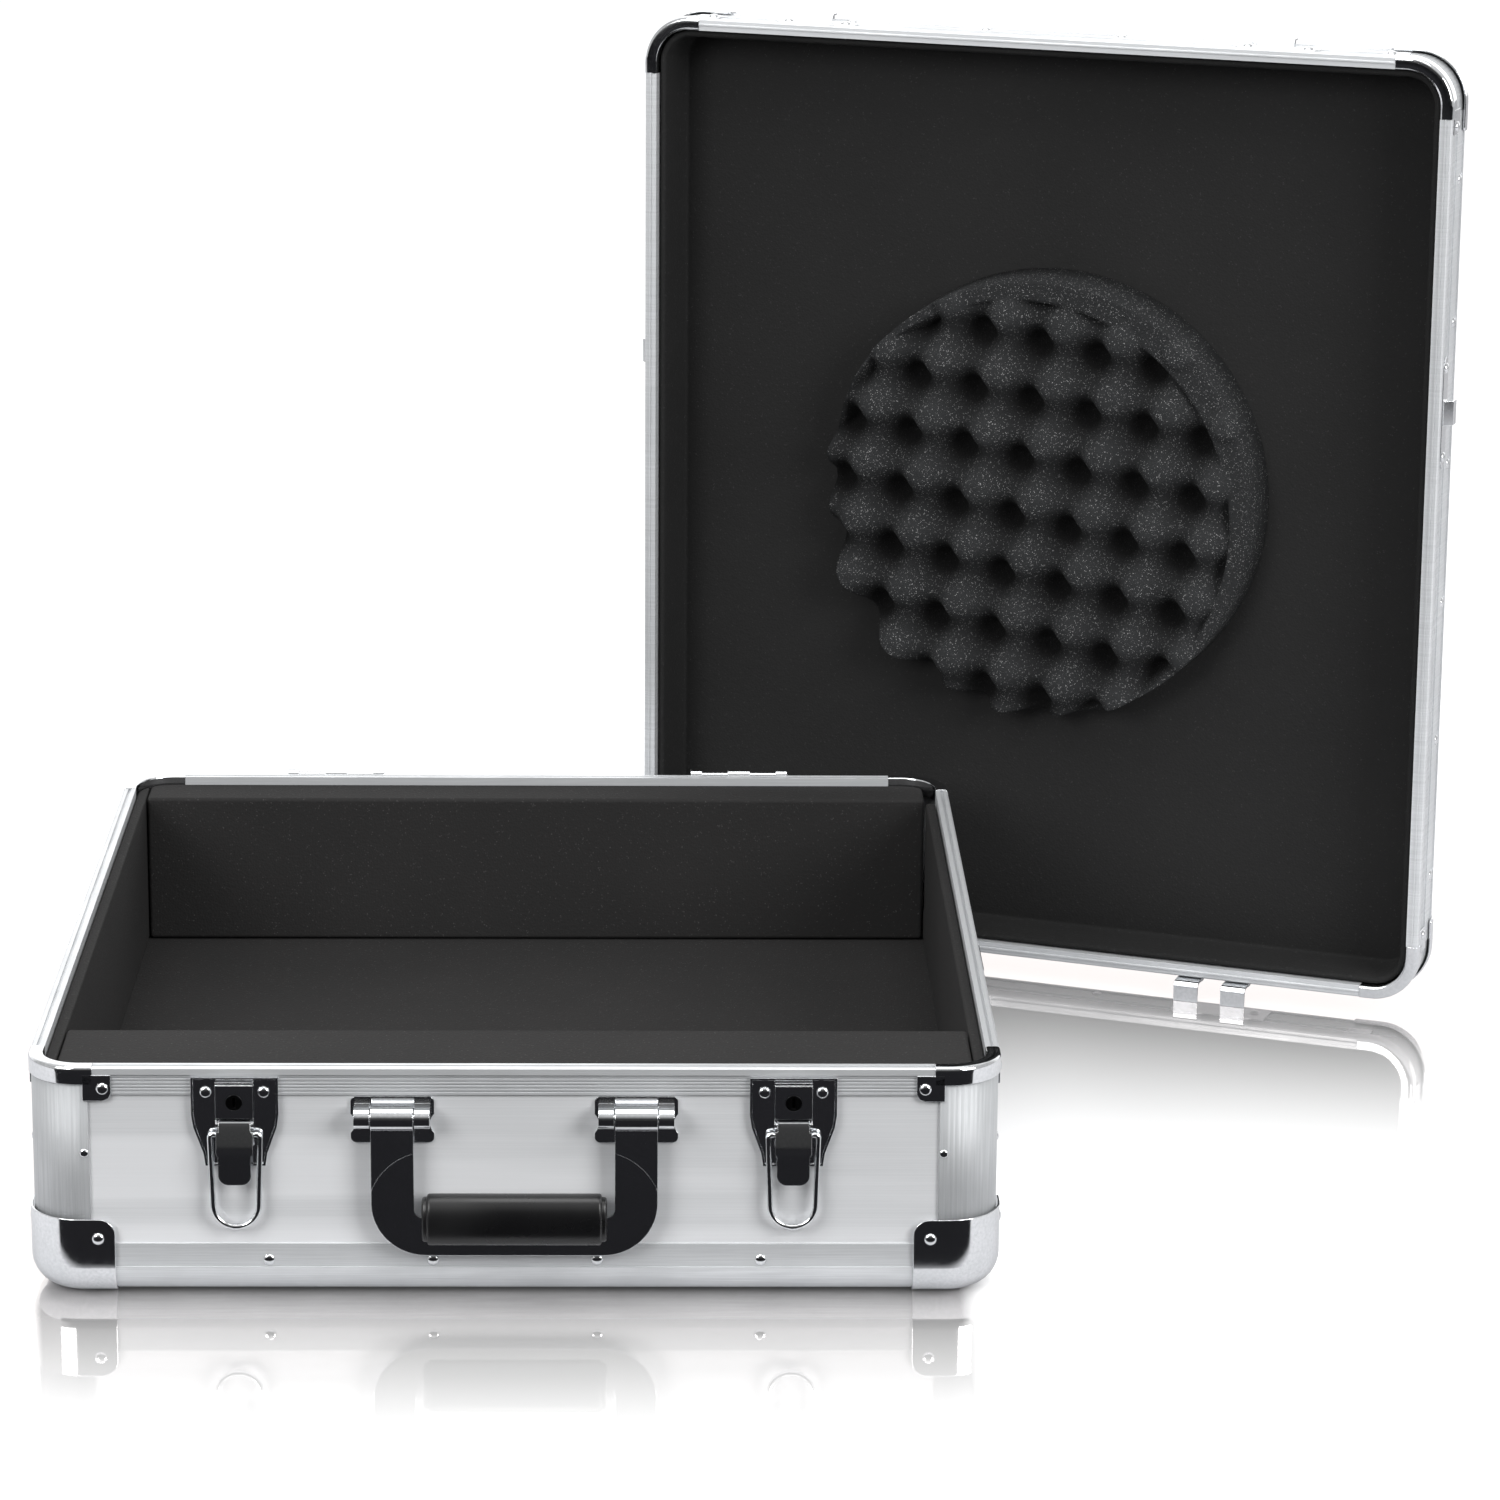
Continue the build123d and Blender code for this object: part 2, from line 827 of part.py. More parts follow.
def latch_plate(facing, along, locked):
    """The plate that carries the lever between two ears, with a turned-up edge and maybe a lock."""
    face = wall_plane(base_frame, facing, along)
    ear_offset = lever_top_half_width + ear_gap + ear_thickness / 2
    with BuildPart() as plate:
        extrude(latch_outline(face.offset(-skin_inset)), amount=plate_sheet)
        with BuildSketch(face.offset(-board_inset)):
            with Locations((0, -rim_rail_height)):
                Rectangle(
                    2 * plate_foot_half_width,
                    plate_foot - rim_rail_height,
                    align=(Align.CENTER, Align.MAX),
                )
        extrude(amount=sheet)
        extrude(latch_outline(face.offset(plate_face_out), edge_only=True), amount=plate_lip_height)
        for side in (-1, 1):
            with BuildSketch(section_plane(base_frame, facing, along + side * ear_offset)):
                with Locations((-lever_axis_out, -lever_axis_drop)):
                    RegularPolygon(lever_barrel, knuckle_sides)
                    Rectangle(
                        lever_axis_out - plate_face_out,
                        2 * lever_barrel,
                        align=(Align.MIN, Align.CENTER),
                    )
            extrude(amount=ear_thickness / 2, both=True)
        with BuildSketch(section_plane(base_frame, facing, along)):
            with Locations((-lever_axis_out, -lever_axis_drop)):
                Circle(lever_pin_radius)
        extrude(amount=ear_offset + ear_thickness / 2, both=True)
        if locked:
            with BuildSketch(face.offset(plate_face_out)):
                with Locations((0, -lock_top)):
                    Rectangle(
                        2 * lock_half_width, lock_foot - lock_top, align=(Align.CENTER, Align.MAX)
                    )
            extrude(amount=lock_height)
            with BuildSketch(face.offset(plate_face_out + lock_height)):
                with Locations((0, -lock_top)):
                    Rectangle(2 * lock_half_width, lock_step, align=(Align.CENTER, Align.MAX))
            extrude(amount=-lock_step, mode=Mode.SUBTRACT)
            with BuildSketch(face.offset(plate_face_out + lock_height)):
                with Locations((0, -plug_drop)):
                    Circle(plug_radius + plug_clearance)
            extrude(amount=-plug_depth, mode=Mode.SUBTRACT)
    return plate.part


def plug(along):
    """The round plug of a lock, with its key slot."""
    face = wall_plane(base_frame, FRONT, along).offset(plate_face_out + lock_height + plug_proud)
    with BuildPart() as barrel:
        with BuildSketch(face):
            with Locations((0, -plug_drop)):
                Circle(plug_radius)
        extrude(amount=-plug_depth - plug_proud)
        with BuildSketch(face):
            with Locations((0, -plug_drop)):
                Rectangle(key_slot_width, key_slot_length)
        extrude(amount=-plug_depth / 2, mode=Mode.SUBTRACT)
    return barrel.part


def lever(facing, along):
    """A dished lever: a barrel between the ears, two cheeks for the bail and a turned-in thumb tab."""
    section = section_plane(base_frame, facing, along)
    top_out = lever_axis_out + lever_barrel
    with BuildPart() as arm:
        with BuildSketch(section):
            with BuildLine():
                Polyline(
                    (-top_out, -lever_axis_drop),
                    (-lever_knee_out, -lever_knee),
                    (-thumb_out - lever_sheet, -lever_end),
                    (-thumb_out, -lever_end),
                    (-lever_knee_out + lever_sheet, -lever_knee),
                    (-top_out + lever_sheet, -lever_axis_drop),
                    close=True,
                )
            make_face()
        extrude(amount=lever_half_width, both=True)
        for side in (-1, 1):
            cheek_middle = side * (lever_half_width - lever_cheek / 2)
            with BuildSketch(section_plane(base_frame, facing, along + cheek_middle)):
                with BuildLine():
                    Polyline(
                        (-top_out, -cheek_top),
                        (-lever_knee_out + lever_sheet / 2, -lever_knee),
                        (-lever_knee_out + 2 * lever_sheet, -lever_knee),
                        (-cheek_in, -bail_axis_drop - bail_eye),
                        (-cheek_in, -cheek_top),
                        close=True,
                    )
                make_face()
            extrude(amount=lever_cheek / 2, both=True)
        with BuildSketch(section):
            with Locations((-bail_axis_out, -bail_axis_drop)):
                Circle(bail_wire + running_clearance)
        extrude(amount=2 * lever_half_width, both=True, mode=Mode.SUBTRACT)
        with BuildSketch(wall_plane(base_frame, facing, along)):
            with BuildLine():
                Polyline(
                    (-thumb_half_width, -lever_knee - lever_sheet),
                    (-lever_half_width, -lever_knee),
                    (-lever_half_width, -cheek_top),
                    (-lever_top_half_width, -cheek_top),
                    (-lever_top_half_width, 0),
                    (lever_top_half_width, 0),
                    (lever_top_half_width, -cheek_top),
                    (lever_half_width, -cheek_top),
                    (lever_half_width, -lever_knee),
                    (thumb_half_width, -lever_knee - lever_sheet),
                )
                FilletPolyline(
                    (thumb_half_width, -lever_knee - lever_sheet),
                    (thumb_half_width, -lever_end),
                    (-thumb_half_width, -lever_end),
                    (-thumb_half_width, -lever_knee - lever_sheet),
                    radius=thumb_round,
                )
            make_face()
        extrude(amount=2 * lever_knee_out, mode=Mode.INTERSECT)
        with BuildSketch(section):
            with Locations((-lever_axis_out, -lever_axis_drop)):
                RegularPolygon(lever_barrel, knuckle_sides)
        extrude(amount=lever_top_half_width, both=True)
        with BuildSketch(section):
            with Locations((-lever_axis_out, -lever_axis_drop)):
                Circle(lever_pin_radius + running_clearance)
        extrude(amount=lever_half_width, both=True, mode=Mode.SUBTRACT)
    return arm.part


def bail(facing, along):
    """A wire bent to a long loop, with both ends turned in to pivot in the cheeks of its lever."""
    face = wall_plane(base_frame, facing, along).offset(bail_axis_out)
    end = lever_half_width - lever_cheek - running_clearance
    low = bail_drop - bail_wire - bail_foot_half_width
    bends = [radians(180 + 180 * bend / bail_bends) for bend in range(bail_bends + 1)]
    foot = [
        (bail_foot_half_width * cos(turn), bail_foot_half_width * sin(turn) - low) for turn in bends
    ]
    with BuildPart() as loop:
        with BuildLine(face) as path:
            Polyline(
                (-end, -bail_axis_drop),
                (-bail_half_width, -bail_axis_drop),
                *foot,
                (bail_half_width, -bail_axis_drop),
                (end, -bail_axis_drop),
            )
        with BuildSketch(Plane(origin=path.line @ 0, z_dir=path.line % 0)):
            RegularPolygon(bail_wire, wire_sides)
        sweep(path=path.line, transition=Transition.RIGHT)
    return loop.part


def keeper(facing, along, half_width, tab_half_width, pointed):
    """The lid's half of a latch: a plate on the rail with a raised lip that the bail draws down on."""
    face = wall_plane(lid_frame, facing, along).offset(-skin_inset)
    top = -bead_height - finger_clearance
    end = keeper_point if pointed else keeper_chamfer
    with BuildPart() as catch:
        with BuildSketch(face):
            with BuildLine():
                Polyline(
                    (-half_width + end, top),
                    (half_width - end, top),
                    (half_width, top - end),
                    (half_width, top - keeper_height + end),
                    (half_width - end, top - keeper_height),
                    (-half_width + end, top - keeper_height),
                    (-half_width, top - keeper_height + end),
                    (-half_width, top - end),
                    close=True,
                )
            make_face()
        extrude(amount=keeper_sheet)
        with BuildSketch(section_plane(lid_frame, facing, along)):
            with BuildLine():
                Polyline(
                    (skin_inset - keeper_sheet / 2, top - keeper_sheet),
                    (-keeper_tab_rise, -keeper_catch + 2 * keeper_sheet),
                    (-keeper_tab_rise, -keeper_catch - keeper_lip),
                    (-keeper_tab_rise + keeper_sheet, -keeper_catch - keeper_lip),
                    (-keeper_tab_rise + keeper_sheet, -keeper_catch),
                    (skin_inset - keeper_sheet / 2, -keeper_catch),
                    close=True,
                )
            make_face()
        extrude(amount=tab_half_width, both=True)
    return catch.part


# Lining


inner_inset = rim_width + lining_gap
inner_width = case_width - 2 * inner_inset
inner_depth = case_depth - 2 * inner_inset
floor_gap = sheet + board + lining_gap


def lining_block(low, high, left, right, front, rear, notch=False):
    """A block of lining in the base, rounded where it meets a corner of the case."""
    with BuildPart() as block:
        with BuildSketch(Plane.XY.offset(low)):
            with Locations(((left + right) / 2, (front + rear) / 2)):
                Rectangle(right - left, rear - front)
            RectangleRounded(
                inner_width, inner_depth, corner_radius - inner_inset, mode=Mode.INTERSECT
            )
        extrude(amount=high - low)
        if notch:
            with BuildSketch(Plane.XY.offset(slot_sill)):
                with Locations((right, rear)):
                    Rectangle(
                        2 * slot_width, rear_block_depth, align=(Align.CENTER, Align.MAX)
                    )
            extrude(amount=high - slot_sill, mode=Mode.SUBTRACT)
    return block.part


leaf_notch = ball_leaf - rail_flange + leaf_clearance

# The base


rail_spots = {
    FRONT: (-1.5, -0.5, 0.5, 1.5),
    REAR: (-1.5, -0.5, 0.5, 1.5),
    LEFT: (-2.5, -1.5, -0.5, 0.5, 1.5, 2.5),
    RIGHT: (-2.5, -1.5, -0.5, 0.5, 1.5, 2.5),
}
hook_edge_spots = (-0.5, 0.5)


def tray_rivets(frame, height, spots):
    """Rivet heads shared by both trays: along the bottom rails and on the corner caps."""
    with BuildPart() as heads:
        for facing in wall_names:
            plane = wall_plane(frame, facing)
            ends = wall_half_length(facing)
            rail = [
                Vector(place * rail_rivet_pitch, -height + rail_rivet_height, -skin_inset)
                for place in spots[facing]
            ]
            caps = [
                Vector(side * (ends - cap_rivet_inset), -cap_rivet_drop, sheet - skin_inset)
                for side in (-1, 1)
            ]
            add(rivet_on(plane, rail))
            add(rivet_on(plane, caps))
    return heads.part


keep(bottom_board(base_frame, base_height, base_nose), "bottom_panel")
for facing, wall in wall_names.items():
    keep(side_board(base_frame, facing, base_height, base_nose), f"{wall}_panel")
    keep(rim_rail(base_frame, facing, tongue=False), f"rim_rail_{wall}")
    rail = edge_rail(base_frame, facing, base_height, base_nose, base_rail_height)
    keep(rail, f"bottom_rail_{wall}")

with BuildPart() as base_posts:
    for corner in corner_names:
        add(corner_post(base_frame, corner, base_height, base_nose))
keep(base_posts.part, "corner_posts")

with BuildPart() as base_balls:
    for corner in corner_names:
        add(
            ball_corner(
                base_frame, corner, base_height, base_nose, base_ball_height, ball_leaf_round
            )
        )
keep(base_balls.part, "ball_corners")

with BuildPart() as base_caps:
    for corner in corner_names:
        add(rim_cap(base_frame, corner))
keep(base_caps.part, "rim_corner_caps")

latch_places = {
    "front_left": (FRONT, -front_latch_offset, True),
    "front_right": (FRONT, front_latch_offset, True),
    "side_left": (LEFT, side_latch_offset, False),
    "side_right": (RIGHT, -side_latch_offset, False),
}
for place, (facing, along, locked) in latch_places.items():
    keep(latch_plate(facing, along, locked), f"latch_plate_{place}")
    keep(lever(facing, along), f"latch_lever_{place}")
    keep(bail(facing, along), f"latch_bail_{place}")
    if locked:
        keep(plug(along), f"lock_plug_{place}")

with BuildPart() as base_rivets:
    add(tray_rivets(base_frame, base_height, rail_spots))
    for facing in wall_names:
        plane = wall_plane(base_frame, facing)
        ends = wall_half_length(facing)
        balls = [
            Vector(side * (ends - ball_rivet_inset), -base_height + ball_rivet_height, sheet)
            for side in (-1, 1)
        ]
        posts = [
            Vector(side * (ends - post_rivet_inset), -base_height + post_rivet_height, -skin_inset)
            for side in (-1, 1)
        ]
        add(rivet_on(plane, balls))
        add(rivet_on(plane, posts, small_rivet_radius, small_rivet_crown))
    for facing, along, locked in latch_places.values():
        spots = [
            Vector(along + side * latch_rivet_spread, -latch_rivet_drop, plate_face_out)
            for side in (-1, 1)
        ]
        add(rivet_on(wall_plane(base_frame, facing), spots))
    hinge_spots = [
        Vector(side * hinge_offset + end * hinge_rivet_spread, -hinge_rivet_drop, leaf_sheet - skin_inset)
        for side in (-1, 1)
        for end in (-1, 1)
    ]
    add(rivet_on(wall_plane(base_frame, REAR), hinge_spots))
keep(base_rivets.part, "base_rivets")

for side, name in ((1, "left"), (-1, "right")):
    keep(base_hinge(side * hinge_offset), f"base_hinge_{name}")
    keep(base_hinge_pin(side * hinge_offset), f"hinge_pin_{name}")

for side, name in ((-1, "left"), (1, "right")):
    keep(handle_mount(side * handle_mount_offset), f"handle_mount_{name}")
keep(handle_pin_pair(), "handle_pins")
keep(handle_bow(), "handle_bow")
keep(handle_grip(), "handle_grip")

block_top = base_height - rim_reveal
side_top = block_top - lining_gap
side_low = floor_lining_top + lining_gap
half_inner_width = inner_width / 2
half_inner_depth = inner_depth / 2
side_inner = half_inner_width - lining_thickness
front_edge = -half_inner_depth + front_block_depth
rear_edge = half_inner_depth - rear_block_depth
keep(
    lining_block(
        floor_gap,
        floor_lining_top,
        -half_inner_width,
        half_inner_width,
        -half_inner_depth,
        half_inner_depth,
    ),
    "lining_floor",
)
keep(
    lining_block(
        side_low,
        block_top,
        -side_inner + lining_gap,
        side_inner - lining_gap,
        -half_inner_depth,
        front_edge,
    ),
    "lining_front_block",
)
keep(
    lining_block(
        side_low,
        block_top,
        -side_inner + lining_gap,
        side_inner - lining_gap,
        rear_edge,
        half_inner_depth,
    ),
    "lining_rear_block",
)
keep(
    lining_block(
        side_low, side_top, -half_inner_width, -side_inner, -half_inner_depth, half_inner_depth
    ),
    "lining_left",
)
keep(
    lining_block(
        side_low,
        side_top,
        side_inner,
        half_inner_width,
        -half_inner_depth,
        half_inner_depth,
        notch=True,
    ),
    "lining_right",
)

# The lid

keep(bottom_board(lid_frame, lid_height, lid_nose), "lid_panel")

with BuildPart() as lid_sides:
    for facing in wall_names:
        add(side_board(lid_frame, facing, lid_height, lid_nose))
keep(lid_sides.part, "lid_side_panels")

with BuildPart() as lid_rims:
    for facing in wall_names:
        add(rim_rail(lid_frame, facing, tongue=True))
keep(lid_rims.part, "lid_rim_rails")

with BuildPart() as lid_backs:
    for facing in wall_names:
        add(edge_rail(lid_frame, facing, lid_height, lid_nose, lid_rail_height))
keep(lid_backs.part, "lid_back_rails")

with BuildPart() as lid_posts:
    for corner in corner_names:
        add(corner_post(lid_frame, corner, lid_height, lid_nose))
keep(lid_posts.part, "lid_corner_posts")

with BuildPart() as lid_balls:
    for corner in corner_names:
        add(
            ball_corner(
                lid_frame, corner, lid_height, lid_nose, lid_ball_height, lid_ball_leaf_round
            )
        )
keep(lid_balls.part, "lid_ball_corners")

with BuildPart() as lid_caps:
    for corner in corner_names:
        add(rim_cap(lid_frame, corner))
keep(lid_caps.part, "lid_rim_caps")

with BuildPart() as front_keepers:
    for side in (-1, 1):
        add(
            keeper(
                REAR, side * front_latch_offset, keeper_half_width, keeper_tab_half_width, False
            )
        )
keep(front_keepers.part, "keepers_front")

with BuildPart() as side_keepers:
    for facing, along in ((LEFT, -side_latch_offset), (RIGHT, side_latch_offset)):
        add(keeper(facing, along, side_keeper_half_width, side_keeper_tab_half_width, True))
keep(side_keepers.part, "keepers_side")

with BuildPart() as hooks:
    for side in (-1, 1):
        add(lid_hook(side * hinge_offset))
keep(hooks.part, "hinge_hooks")

with BuildPart() as lid_rivets:
    add(tray_rivets(lid_frame, lid_height, {**rail_spots, FRONT: hook_edge_spots}))
    back = Plane(
        origin=spot(lid_frame, 0, 0, -lid_height), x_dir=lid_frame.x_dir, z_dir=-lid_frame.z_dir
    )
    corner_spots = [
        Vector(
            sign_x * (case_width / 2 - lid_ball_rivet_inset),
            sign_y * (case_depth / 2 - lid_ball_rivet_inset),
            sheet,
        )
        for sign_x, sign_y in corner_signs.values()
    ]
    add(rivet_on(back, corner_spots))
    for facing, places, half in (
        (REAR, (-front_latch_offset, front_latch_offset), keeper_half_width),
        (LEFT, (-side_latch_offset,), side_keeper_half_width),
        (RIGHT, (side_latch_offset,), side_keeper_half_width),
    ):
        spots = [
            Vector(
                along + side * (half - keeper_rivet_inset),
                -bead_height - finger_clearance - keeper_height / 2,
                keeper_sheet - skin_inset,
            )
            for along in places
            for side in (-1, 1)
        ]
        add(rivet_on(wall_plane(lid_frame, facing), spots))
    hook_spots = [
        Vector(side * hinge_offset + end * hinge_rivet_spread, -hinge_rivet_drop, leaf_sheet - skin_inset)
        for side in (-1, 1)
        for end in (-1, 1)
    ]
    add(rivet_on(wall_plane(lid_frame, FRONT), hook_spots))
keep(lid_rivets.part, "lid_rivets")

lid_floor = -lid_height + floor_gap
with BuildPart() as lid_lining:
    with BuildSketch(on(lid_frame, Plane.XY.offset(lid_floor))):
        RectangleRounded(inner_width, inner_depth, corner_radius - inner_inset)
    extrude(amount=-lid_floor - rim_reveal)
    with BuildSketch(on(lid_frame, Plane.XY.offset(lid_floor + lid_lining_thickness))):
        Rectangle(inner_width - 2 * lid_lining_side, inner_depth - 2 * lid_lining_side)
    extrude(amount=lid_height, mode=Mode.SUBTRACT)
keep(lid_lining.part, "lid_lining")

foam_floor = lid_floor + lid_lining_thickness + lining_gap
foam_count = 2 * int(foam_radius / foam_pitch) + 3
foam_back = on(lid_frame, Plane.XY.offset(foam_floor))
peak_step = foam_peak * tan(radians(foam_taper))
with BuildPart() as foam:
    with Locations(foam_back.offset(foam_base).location * Location((0, foam_rise, 0), (0, 0, foam_turn))):
        with GridLocations(foam_pitch, foam_pitch, foam_count, foam_count):
            Wedge(
                foam_peak_root,
                foam_peak,
                foam_peak_root,
                peak_step,
                peak_step,
                foam_peak_root - peak_step,
                foam_peak_root - peak_step,
                rotation=(90, 0, 0),
                align=(Align.CENTER, Align.MIN, Align.CENTER),
            )
    with BuildSketch(foam_back):
        with Locations((0, foam_rise)):
            RegularPolygon(foam_radius, foam_sides)
    extrude(amount=foam_base + foam_peak, mode=Mode.INTERSECT)
    with BuildSketch(foam_back):
        with Locations((0, foam_rise)):
            RegularPolygon(foam_radius, foam_sides)
    extrude(amount=foam_base)
keep(foam.part, "foam_disc")
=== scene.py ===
# %% [markdown]
# # Mixer flight case
# An open base tray of laminated boards held in aluminium rails, and its lift-off lid stood on
# edge behind it. The CAD model gives every hard part its place. This script gives each surface
# its finish, makes the soft foam linings, and remakes the round chrome parts with finer curves.

# %% Load the frame
import json
import math

import bmesh
import bpy
from mathutils import Matrix, Vector

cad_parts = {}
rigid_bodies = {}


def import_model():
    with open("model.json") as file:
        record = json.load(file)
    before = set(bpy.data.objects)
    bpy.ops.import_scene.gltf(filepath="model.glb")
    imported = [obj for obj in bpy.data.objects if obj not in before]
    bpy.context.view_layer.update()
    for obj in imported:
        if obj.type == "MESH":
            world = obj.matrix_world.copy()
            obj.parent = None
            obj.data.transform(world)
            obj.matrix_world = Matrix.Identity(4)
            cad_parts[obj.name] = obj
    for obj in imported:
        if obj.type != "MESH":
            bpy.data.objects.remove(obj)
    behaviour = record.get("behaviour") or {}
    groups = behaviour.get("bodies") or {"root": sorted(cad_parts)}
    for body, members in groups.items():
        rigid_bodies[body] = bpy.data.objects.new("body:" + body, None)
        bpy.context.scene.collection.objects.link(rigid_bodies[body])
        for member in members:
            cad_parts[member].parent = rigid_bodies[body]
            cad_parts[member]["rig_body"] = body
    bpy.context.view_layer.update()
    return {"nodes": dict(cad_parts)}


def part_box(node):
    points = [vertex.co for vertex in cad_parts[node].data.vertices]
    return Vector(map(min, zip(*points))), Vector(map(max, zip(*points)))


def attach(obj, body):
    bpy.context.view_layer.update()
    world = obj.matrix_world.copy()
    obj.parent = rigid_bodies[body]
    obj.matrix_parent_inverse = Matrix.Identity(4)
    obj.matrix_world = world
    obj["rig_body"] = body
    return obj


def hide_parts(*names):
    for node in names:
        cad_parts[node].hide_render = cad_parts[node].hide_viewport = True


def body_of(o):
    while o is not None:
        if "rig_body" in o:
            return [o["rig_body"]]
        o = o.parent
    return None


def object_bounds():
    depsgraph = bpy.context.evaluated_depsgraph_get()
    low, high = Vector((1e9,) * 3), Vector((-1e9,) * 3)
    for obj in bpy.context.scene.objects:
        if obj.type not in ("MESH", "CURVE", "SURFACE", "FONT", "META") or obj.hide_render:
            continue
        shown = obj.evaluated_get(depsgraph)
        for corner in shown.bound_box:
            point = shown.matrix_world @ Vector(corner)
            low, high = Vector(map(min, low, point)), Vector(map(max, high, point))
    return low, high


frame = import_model()
nodes = frame["nodes"]
MM = 0.001

# %% [markdown]
# The two trays share one set of sizes, which are read from the frame where a box gives them.
# A tray's own frame has its rim at z = 0, opening towards +z. The base's is level, and the lid's
# stands upright and is turned a little to the right.

# %% The two trays
corner_radius = 27 * MM
sheet = 1.2 * MM
board_inset = 2 * MM
width = 2 * (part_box("right_panel")[1][0] + board_inset)
depth = 2 * (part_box("rear_panel")[1][1] + board_inset)
base_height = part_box("rim_rail_front")[1][2]
lid_height = 45.5 * MM
lid_turn = math.radians(21.75)
lid_x, lid_y = 285.5 * MM, 257.0 * MM
lid_centre_height = (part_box("lid_ball_corners")[0][2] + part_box("lid_ball_corners")[1][2]) / 2

base_frame = Matrix.Translation((0, 0, base_height))
lid_right = Vector((math.cos(lid_turn), -math.sin(lid_turn), 0))
lid_out = Vector((-math.sin(lid_turn), -math.cos(lid_turn), 0))
lid_frame = Matrix.Translation((lid_x, lid_y, lid_centre_height)) @ Matrix(
    (lid_right, Vector((0, 0, 1)), lid_out)
).transposed().to_4x4()
trays = (("base", base_frame, base_height), ("lid", lid_frame, lid_height))
print("case:", [round(v / MM, 1) for v in (width, depth, base_height)])

# %% [markdown]
# ## Finishes
# A colour is written as the hex value that a picture would show, and one function turns it to
# the linear numbers that the renderer works in. One more function adds a node, sets it and
# joins it up, and every material below is made with it.

# %% Colours and nodes
MATHS, RANGE, MIX = "ShaderNodeMath", "ShaderNodeMapRange", "ShaderNodeMix"
SKIN, NOISE, VECTOR = "ShaderNodeBsdfPrincipled", "ShaderNodeTexNoise", "ShaderNodeVectorMath"
SPLIT, JOIN, POSITION = "ShaderNodeSeparateXYZ", "ShaderNodeCombineXYZ", "GeometryNodeInputPosition"
BUMP, OUTPUT, REAL = "ShaderNodeBump", "ShaderNodeOutputMaterial", "GeometryNodeRealizeInstances"
MULTIPLY, SUBTRACT = {"operation": "MULTIPLY"}, {"operation": "SUBTRACT"}
LARGEST, COLOURS = {"operation": "MAXIMUM"}, {"data_type": "RGBA"}


def linear(hex_colour):
    """An sRGB hex colour as linear RGBA."""
    parts = [int(hex_colour[i : i + 2], 16) / 255 for i in (1, 3, 5)]
    return [c / 12.92 if c <= 0.04045 else ((c + 0.055) / 1.055) ** 2.4 for c in parts] + [1.0]


def add_node(tree, kind, settings=None, output=0, **inputs):
    """Add a node, set it, join up its inputs, and give back one of its outputs.

    An input is a number or the socket that feeds it. in0, in1 and so on name inputs by place."""
    node = tree.nodes.new(kind)
    for name, value in (settings or {}).items():
        setattr(node, name, value)
    for name, value in inputs.items():
        socket = node.inputs[int(name[2:]) if name[2:].isdigit() else name.replace("_", " ")]
        if isinstance(value, bpy.types.NodeSocket):
            tree.links.new(value, socket)
        else:
            socket.default_value = value
    return node.outputs[output] if len(node.outputs) else node


def new_material(name):
    """An empty material, its node tree, and the place of a point on its piece."""
    material = bpy.data.materials.new(name)
    material.use_nodes = True
    tree = material.node_tree
    tree.nodes.clear()
    return material, tree, add_node(tree, "ShaderNodeTexCoord", output="Object")


# %% [markdown]
# The boards are plywood faced with a thin brushed aluminium laminate, nearly white under soft
# light. Brushing leaves fine lines along the board, so the pattern is noise that is stretched
# 180 times along it, and it only just changes the colour, roughness and height.

# %% Brushed laminate


def brushed_laminate(name, along):
    """White-silver laminate whose fine lines run along one direction, given as a vector."""
    material, tree, place = new_material(name)
    line_spacing, line_stretch = 0.8 * MM, 180
    bands_along, bands_across = 0.6, 26.0
    fine_scale = [1 / (line_stretch * line_spacing) if a else 1 / line_spacing for a in along]
    band_scale = [bands_along if a else bands_across for a in along]
    fine_place = add_node(tree, "ShaderNodeMapping", Vector=place, Scale=fine_scale)
    band_place = add_node(tree, "ShaderNodeMapping", Vector=place, Scale=band_scale)
    lines = add_node(tree, NOISE, Vector=fine_place, Scale=1.0, Detail=4.0, Roughness=0.65)
    bands = add_node(tree, NOISE, Vector=band_place, Scale=1.0, Detail=2.0)
    grey, pale, band_tone = (linear(c) for c in ("#CDCFD1", "#E4E5E7", "#F1F2F4"))
    tone = add_node(tree, MIX, COLOURS, output=2, in0=lines, in6=grey, in7=pale)
    share = add_node(tree, RANGE, Value=bands, From_Min=0.47, From_Max=0.56, To_Max=0.6)
    tone = add_node(tree, MIX, COLOURS, output=2, in0=share, in6=tone, in7=band_tone)
    rough = add_node(tree, RANGE, Value=lines, From_Min=0.3, From_Max=0.7, To_Min=0.3, To_Max=0.44)
    soft_edge = add_node(tree, "ShaderNodeBevel", {"samples": 4}, Radius=0.3 * MM)
    bump = add_node(
        tree, BUMP, Height=lines, Strength=0.16, Distance=0.06 * MM, Normal=soft_edge
    )
    skin = add_node(tree, SKIN, Base_Color=tone, Metallic=0.25, Roughness=rough, Normal=bump)
    add_node(tree, OUTPUT, Surface=skin)
    return material


laminate = brushed_laminate("brushed_white_laminate_across", (1, 0, 0))
laminate_side = brushed_laminate("brushed_white_laminate_along", (0, 1, 0))
laminate_tall = brushed_laminate("brushed_white_laminate_upright", (0, 0, 1))
print("laminates made")
